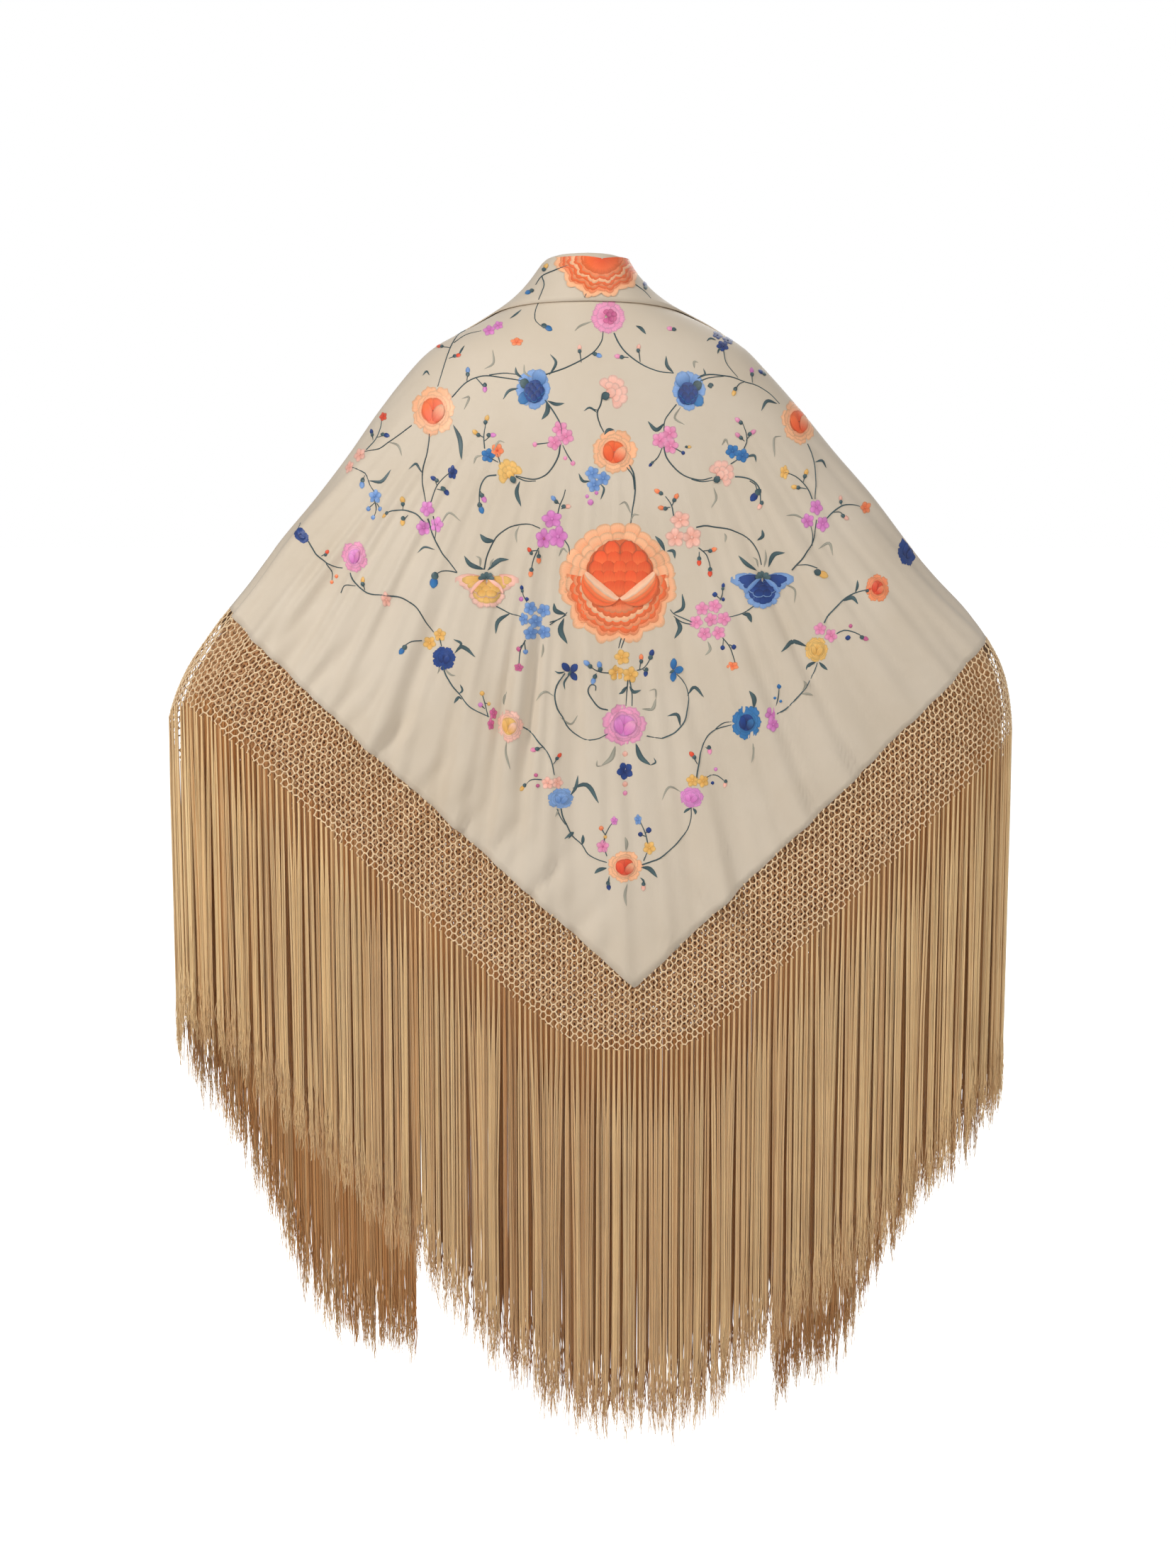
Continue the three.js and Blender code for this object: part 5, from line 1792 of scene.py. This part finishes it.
# %% Leaves and tendrils of the back
LEAF_ROWS = [
    ([(606, 530), (602, 524), (596, 530)], 4, "dark"),
    ([(640, 600), (649, 620), (651, 648)], 8, "dark"),
    ([(656, 488), (650, 497), (647, 503)], 4, "dark"),
    ([(720, 450), (728, 444), (736, 437)], 3, "dark"),
    ([(775, 530), (784, 512), (776, 500)], 5, "dark"),
    ([(737, 534), (729, 526), (728, 518)], 5, "dark"),
    ([(732, 548), (718, 552), (710, 563)], 5, "dark"),
    ([(771, 566), (772, 580), (764, 592)], 8, "dark"),
    ([(772, 566), (784, 571), (796, 569)], 6, "dark"),
    ([(733, 678), (729, 694), (735, 714)], 7, "dark"),
    ([(847, 705), (852, 690), (846, 682)], 4, "dark"),
    ([(833, 679), (822, 679), (816, 668)], 5, "dark"),
    ([(866, 606), (858, 606), (852, 614)], 6, "dark"),
    ([(843, 583), (832, 575), (824, 580)], 4, "dark"),
    ([(596, 668), (587, 654), (576, 662)], 5, "dark"),
    ([(548, 624), (562, 628), (566, 642)], 4, "pale"),
    ([(520, 678), (536, 678), (550, 662)], 6, "dark"),
    ([(623, 740), (634, 724), (650, 736)], 3, "pale"),
    ([(615, 776), (600, 772), (589, 780)], 4, "dark"),
    ([(683, 803), (664, 796), (655, 784)], 8, "dark"),
    ([(688, 804), (704, 790), (718, 789)], 8, "dark"),
    ([(678, 800), (677, 788), (672, 784)], 3, "pale"),
    ([(692, 802), (694, 792), (698, 788)], 3, "pale"),
    ([(699, 763), (686, 762), (677, 754)], 9, "dark"),
    ([(720, 865), (703, 876), (699, 894)], 7, "dark"),
    ([(798, 866), (784, 862), (781, 851)], 8, "dark"),
    ([(795, 872), (791, 890), (800, 908)], 9, "dark"),
    ([(733, 742), (728, 752), (729, 766)], 3, "pale"),
    ([(788, 785), (794, 774), (801, 780)], 4, "pale"),
    ([(766, 908), (766, 918), (764, 928)], 4, "pale"),
    ([(641, 922), (652, 912), (672, 927)], 7, "dark"),
    ([(646, 916), (650, 908), (640, 902)], 5, "dark"),
    ([(617, 950), (620, 942), (625, 938)], 3, "pale"),
    ([(643, 953), (636, 952), (628, 944)], 3, "pale"),
    ([(649, 966), (652, 974), (646, 980)], 5, "dark"),
    ([(652, 987), (646, 984), (640, 992)], 6, "dark"),
    ([(712, 998), (711, 988), (715, 976)], 6, "pale"),
    ([(716, 1045), (714, 1060), (720, 1084)], 4, "pale"),
    ([(783, 983), (768, 976), (756, 990)], 3, "pale"),
    ([(790, 1012), (805, 1022), (815, 1010)], 3, "pale"),
    ([(804, 952), (795, 963), (797, 974)], 4, "dark"),
    ([(797, 948), (788, 949), (783, 947)], 4, "dark"),
    ([(802, 1184), (808, 1176), (796, 1184)], 6, "dark"),
    ([(821, 1193), (823, 1185), (823, 1178)], 6, "dark"),
    ([(804, 1123), (812, 1112), (816, 1095)], 6, "dark"),
    ([(808, 1113), (828, 1108), (844, 1133)], 8, "dark"),
    ([(789, 1141), (785, 1147), (783, 1152)], 4, "pale"),
    ([(856, 1225), (846, 1227), (839, 1233)], 7, "dark"),
    ([(904, 1223), (916, 1226), (928, 1238)], 8, "dark"),
    ([(883, 1200), (884, 1190), (881, 1180)], 6, "pale"),
    ([(885, 1246), (881, 1262), (884, 1278)], 5, "pale"),
    ([(859, 1253), (858, 1246), (860, 1236)], 3, "dark"),
    ([(908, 1250), (908, 1243), (903, 1238)], 3, "dark"),
    ([(868, 1052), (862, 1070), (848, 1080)], 8, "pale"),
    ([(848, 1080), (842, 1080), (842, 1072)], 2, "pale"),
    ([(897, 1049), (904, 1068), (918, 1080)], 9, "dark"),
    ([(918, 1080), (925, 1076), (922, 1069)], 3, "dark"),
    ([(884, 968), (878, 977), (873, 980)], 6, "dark"),
    ([(888, 968), (894, 976), (904, 974)], 6, "dark"),
    ([(905, 1000), (920, 1000), (925, 985)], 6, "pale"),
    ([(925, 985), (924, 972), (916, 975)], 2, "pale"),
    ([(960, 1024), (955, 1008), (941, 1010)], 6, "dark"),
    ([(969, 983), (980, 970), (993, 983)], 6, "dark"),
    ([(1062, 998), (1062, 984), (1056, 974)], 8, "dark"),
    ([(1060, 1044), (1064, 1060), (1060, 1076)], 5, "pale"),
    ([(962, 1119), (944, 1111), (934, 1130)], 4, "pale"),
    ([(975, 1140), (970, 1144), (965, 1148)], 5, "dark"),
    ([(978, 1140), (981, 1144), (981, 1149)], 5, "dark"),
    ([(1139, 912), (1120, 906), (1101, 920)], 8, "dark"),
    ([(1152, 934), (1144, 938), (1138, 946)], 6, "dark"),
    ([(1156, 934), (1162, 940), (1168, 946)], 6, "dark"),
    ([(1132, 975), (1136, 966), (1133, 960)], 5, "pale"),
    ([(1130, 978), (1138, 978), (1146, 980)], 4, "pale"),
    ([(1188, 848), (1202, 843), (1210, 853)], 7, "dark"),
    ([(1206, 836), (1210, 828), (1210, 818)], 5, "dark"),
    ([(1106, 824), (1122, 832), (1121, 850)], 4, "pale"),
    ([(1068, 762), (1076, 756), (1075, 747)], 6, "dark"),
    ([(1068, 805), (1052, 796), (1041, 784)], 7, "dark"),
    ([(1084, 800), (1092, 782), (1107, 780)], 8, "dark"),
    ([(1078, 800), (1080, 786), (1079, 776)], 3, "pale"),
    ([(1070, 800), (1068, 790), (1062, 786)], 3, "pale"),
    ([(1021, 752), (1024, 757), (1023, 765)], 3, "pale"),
    ([(1154, 775), (1170, 766), (1176, 784)], 5, "pale"),
    ([(1134, 732), (1122, 726), (1108, 728)], 4, "pale"),
    ([(1047, 866), (1056, 868), (1060, 878)], 8, "dark"),
    ([(949, 866), (964, 858), (962, 838)], 6, "dark"),
    ([(953, 872), (960, 886), (952, 901)], 8, "dark"),
    ([(938, 778), (932, 766), (924, 756)], 7, "dark"),
    ([(940, 778), (950, 778), (952, 788)], 6, "dark"),
    ([(998, 904), (1001, 916), (995, 924)], 5, "pale"),
    ([(950, 526), (941, 516), (940, 503)], 6, "dark"),
    ([(998, 545), (1005, 544), (1006, 545)], 9, "dark"),
    ([(938, 597), (926, 606), (914, 594)], 7, "dark"),
    ([(986, 530), (994, 528), (992, 520)], 4, "dark"),
    ([(979, 520), (979, 510), (985, 512)], 3, "pale"),
    ([(960, 574), (952, 590), (966, 599)], 3, "pale"),
    ([(1096, 570), (1082, 566), (1073, 580)], 6, "dark"),
    ([(1052, 645), (1064, 642), (1067, 652)], 5, "dark"),
    ([(1018, 628), (1024, 620), (1028, 628)], 3, "pale"),
    ([(1102, 616), (1092, 618), (1093, 645)], 4, "pale"),
    ([(1166, 660), (1160, 650), (1150, 652)], 5, "dark"),
    ([(1010, 480), (1002, 478), (997, 482)], 4, "dark"),
    ([(1012, 499), (1014, 494), (1018, 492)], 4, "dark"),
    ([(1006, 688), (1010, 704), (1003, 716)], 4, "pale"),
    ([(897, 460), (904, 464), (911, 472)], 6, "dark"),
    ([(810, 468), (818, 460), (836, 453)], 4, "pale"),
    ([(683, 521), (696, 512), (695, 494)], 4, "pale"),
    ([(752, 533), (741, 526), (740, 514)], 4, "pale"),
    ([(889, 738), (894, 726), (902, 726)], 3, "pale"),
    ([(873, 712), (882, 708), (890, 724)], 3, "pale"),
    ([(652, 563), (662, 560), (655, 578)], 3, "pale"),
    ([(694, 640), (704, 622), (712, 625)], 3, "pale"),
    ([(669, 655), (672, 645), (680, 643)], 4, "pale"),
]

GREAT_WIDTH, GREAT_HEIGHT = 139, 144
great = flower("back", STIFF_X, STIFF_Z, GREAT_WIDTH, GREAT_HEIGHT, 0)
BLOOMS["great"](great, "deep", "peach")
for kind, column, row, width, height, turn, heart, rim in BLOOM_ROWS:
    x, z = on_cloth(column, row)
    BLOOMS[kind](flower("back", x, z, real_size(width), real_size(height), turn), heart, rim)
for column, row, length, turn, palette in BUD_ROWS:
    bud("back", *on_cloth(column, row), real_size(length), turn, palette)
for column, row, size, palette in SEED_ROWS:
    seed("back", *on_cloth(column, row), real_size(size), palette)
for points in STEM_ROWS:
    stem("back", [on_cloth(*point) for point in points])
for points, width, palette in LEAF_ROWS:
    leaf("back", [on_cloth(*point) for point in points], real_size(width), palette)
print("patches on the back", len(patches["back"]), "stems", len(stems["back"]))

# %% [markdown]
# The fronts can't be seen in the photograph. A shawl like this carries the same flowers there, so
# one garland climbs each front, with its colours changed from side to side. The collar shows the
# foot of a second large rose at the nape, and sprigs that run out along it.

# %% Blooms of the fronts and the collar
FRONT_ROWS = [
    ("rose", 262, -250, 60, 64, 0, "orange", "lilac", "peach", "pink"),
    ("rose", 366, -292, 36, 38, 0, "navy", "red", "sky", "orange"),
    ("five", 318, -318, 18, 18, 0, "pink", "sky", "pink", "sky"),
    ("five", 300, -336, 18, 18, 0, "pink", "sky", "pink", "sky"),
    ("winged", 316, -406, 78, 52, 10, "navy", "yellow", "sky", "blush"),
    ("rose", 392, -440, 40, 42, 20, "red", "yellow", "peach", "blush"),
    ("five", 262, -470, 18, 18, 0, "yellow", "blush", "yellow", "blush"),
    ("five", 246, -486, 18, 18, 0, "yellow", "blush", "yellow", "blush"),
    ("five", 300, -520, 18, 18, 0, "sky", "lilac", "sky", "lilac"),
    ("five", 284, -508, 18, 18, 0, "sky", "lilac", "sky", "lilac"),
    ("rose", 236, -560, 52, 54, 0, "lilac", "navy", "pink", "blue"),
    ("side", 232, -634, 34, 34, 150, "blush", "orange", "blush", "peach"),
]
FRONT_STEMS = [
    [(236, -150), (250, -180), (258, -216)],
    [(270, -284), (290, -306), (308, -330), (316, -356), (317, -378)],
    [(306, -428), (290, -448), (268, -466), (248, -496), (238, -532)],
    [(254, -580), (270, -570), (286, -546), (296, -526)],
    [(232, -588), (228, -602), (230, -616)],
    [(350, -410), (364, -416), (376, -428)],
    [(294, -262), (318, -272), (348, -284)],
]
FRONT_LEAVES = [
    ([(250, -180), (232, -192), (226, -214)], 7, "dark"),
    ([(296, -310), (288, -330), (270, -338)], 6, "dark"),
    ([(316, -356), (336, -350), (350, -358)], 8, "dark"),
    ([(284, -452), (282, -434), (270, -424)], 6, "dark"),
    ([(229, -604), (214, -612), (208, -632)], 6, "dark"),
    ([(370, -420), (374, -400), (388, -392)], 7, "dark"),
    ([(264, -574), (278, -584), (294, -580)], 5, "pale"),
]
FRONT_BUDS = [
    (210, -196, 11, -60, "sky", "orange"),
    (344, -340, 12, 60, "orange", "navy"),
    (222, -512, 11, -70, "pink", "yellow"),
    (400, -470, 12, 180, "navy", "lilac"),
    (300, -562, 12, 170, "yellow", "pink"),
]
for sign, choice in ((1, 0), (-1, 1)):
    for kind, x, z, width, height, turn, heart, other, rim, other_rim in FRONT_ROWS:
        bloom = flower("front", sign * x, z, width, height, sign * turn)
        BLOOMS[kind](bloom, (heart, other)[choice], (rim, other_rim)[choice])
    for points in FRONT_STEMS:
        stem("front", [(sign * x, z) for x, z in points])
    for points, width, palette in FRONT_LEAVES:
        leaf("front", [(sign * x, z) for x, z in points], width, palette)
    for x, z, length, turn, palette, other in FRONT_BUDS:
        bud("front", sign * x, z, length, sign * turn, (palette, other)[choice])


def collar_rose(bloom):
    """The foot of a large rose whose upper half is turned in at the crease."""
    for reach, palette, base in GREAT_FOOT:
        band(bloom, palette, reach - 0.2, reach, base, 80, 280, 15, 0.05, 0.055)
    band(bloom, "deep", 0.02, 0.44, 2.0, 78, 282, 9, 0.04)


collar_rose(flower("collar", 14, 60, 98, 92, 0))
COLLAR_STEMS = [
    [(-20, 52), (-38, 46), (-52, 40), (-60, 30)],
    [(-52, 40), (-50, 30), (-54, 20), (-58, 12)],
    [(-2, 18), (-4, 14)],
    [(54, 30), (66, 22), (74, 14)],
]
for points in COLLAR_STEMS:
    stem("collar", points)
for x, z, length, turn, palette in ((-47, 51, 9, -30, "yellow"), (-68, 22, 9, 110, "blue"),
                                    (66, 30, 9, 10, "navy")):
    bud("collar", x, z, length, turn, palette)

# %% Laying the stitches on the cloth
COLLAR_TOP = 63.5
COLLAR_FACE = 0.9


def lay(side, x, z, lift):
    front = side == "front"
    z = np.minimum(z, COLLAR_TOP)
    u = u_of(x, z, front)
    if side == "collar":
        edge = smooth(COLLAR, "crease", "z", np.abs(u))
        share = (top_at(u) - z) / (top_at(u) - edge)
        lift = lift + COLLAR_FACE + np.interp(share, [0.0, 0.25, 0.5, 0.75, 1.0],
                                              [5.9, *COLLAR_LIFTS])
    return outer_point(u, z, lift), u, z


floss = bpy.data.materials.new("floss silk satin stitch")
floss.use_nodes = True
tree = floss.node_tree
shader = tree.nodes["Principled BSDF"]
shader.inputs["Sheen Weight"].default_value = 0.15
shader.inputs["Specular IOR Level"].default_value = 0.5
colour = node(tree, "ShaderNodeAttribute", attribute_name="floss")
thread_map = node(tree, "ShaderNodeUVMap", uv_map="threads")
stretch = node(tree, "ShaderNodeMapping")
stretch.inputs["Scale"].default_value = (1400, 90, 1)
streaks = node(tree, "ShaderNodeTexNoise", Scale=1.0, Detail=2.0)
streak_range = node(tree, "ShaderNodeMapRange", From_Min=0.35, From_Max=0.7, To_Min=0.0, To_Max=0.3)
darker = node(tree, "ShaderNodeMix")
darker.data_type = "RGBA"
darker.blend_type = "MULTIPLY"
darker.inputs[7].default_value = (0.62, 0.5, 0.46, 1)
thread_bump = node(tree, "ShaderNodeBump", Strength=0.6, Distance=0.0004)
gloss = node(tree, "ShaderNodeMapRange", To_Min=0.36, To_Max=0.56)
tree.links.new(thread_map.outputs["UV"], stretch.inputs["Vector"])
tree.links.new(stretch.outputs["Vector"], streaks.inputs["Vector"])
tree.links.new(streaks.outputs["Fac"], streak_range.inputs["Value"])
tree.links.new(streak_range.outputs["Result"], darker.inputs[0])
tree.links.new(colour.outputs["Color"], darker.inputs[6])
tree.links.new(darker.outputs[2], shader.inputs["Base Color"])
tree.links.new(streaks.outputs["Fac"], thread_bump.inputs["Height"])
tree.links.new(thread_bump.outputs["Normal"], shader.inputs["Normal"])
tree.links.new(streaks.outputs["Fac"], gloss.inputs["Value"])
tree.links.new(gloss.outputs["Result"], shader.inputs["Roughness"])

STEM_LIFT, STEM_TAPER, SHORT_STEM_SHARE = 0.35, 0.35, 0.8


def stitched_piece(name, side):
    """One mesh from all patches and stems of a side."""
    points, faces, colours, threads, start = [], [], [], [], 0
    for patch, patch_faces, patch_colours, patch_threads in patches[side]:
        points.append(patch)
        faces += (patch_faces + start).tolist()
        colours.append(patch_colours)
        threads.append(patch_threads)
        start += len(patch)
    flat = np.concatenate(points)
    laid = [lay(side, flat[:, 0], flat[:, 1], flat[:, 2])[0]]
    for steps in (LONG_STEPS, SHORT_STEPS):
        lines = [line for line in stems[side] if len(line) == steps + 1]
        if not lines:
            continue
        lines = np.array(lines)
        flat_z = lines[..., 1].ravel()
        centre, u, z = lay(side, lines[..., 0].ravel(), flat_z, np.full(flat_z.size, STEM_LIFT))
        out = normal_of(folded_point, u, z).reshape(*lines.shape[:2], 3)
        centre = centre.reshape(*lines.shape[:2], 3)
        tube = tube_template(4, steps)
        taper = 1 - STEM_TAPER * np.linspace(0, 1, steps + 1) ** 2
        radius = np.full(lines.shape[:2], STEM_RADIUS) * taper
        if steps == SHORT_STEPS:
            radius = radius * SHORT_STEM_SHARE
        tubes = bent_tubes(tube, centre, out, radius)
        laid.append(tubes.reshape(-1, 3))
        faces += (copies(tube, len(lines)) + start).tolist()
        count = tubes.shape[0] * tubes.shape[1]
        start += count
        dark = shades("dark")[0]
        tints = np.repeat(chance.uniform(0.75, 1.25, tubes.shape[0]), tubes.shape[1])
        colours.append(dark * tints[:, None])
        threads.append(np.tile(tube[0][:, [0, 2]] * MM, (tubes.shape[0], 1)))
    mesh = bpy.data.meshes.new(name)
    mesh.from_pydata(np.concatenate(laid) * MM, [], faces)
    mesh.polygons.foreach_set("use_smooth", np.ones(len(mesh.polygons), bool))
    tints = np.ones((start, 4), np.float32)
    tints[:, :3] = np.concatenate(colours)
    layer = mesh.attributes.new("floss", "FLOAT_COLOR", "POINT")
    layer.data.foreach_set("color", tints.ravel())
    corner = np.empty(len(mesh.loops), int)
    mesh.loops.foreach_get("vertex_index", corner)
    mesh.uv_layers.new(name="threads").data.foreach_set(
        "uv", np.concatenate(threads)[corner].astype(np.float32).ravel())
    mesh.materials.append(floss)
    mesh.update()
    piece = bpy.data.objects.new(name, mesh)
    bpy.context.scene.collection.objects.link(piece)
    return piece


needlework = [stitched_piece(f"embroidery_{side}", side) for side in patches]
print("embroidery triangles", [triangles(piece) for piece in needlework])


# %% [markdown]
# Last, every piece rides on the one rigid body.

# %% Declarations
for piece in [outer_cloth, inner_cloth, collar, *nets, *fringes, *needlework]:
    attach(piece, "root")
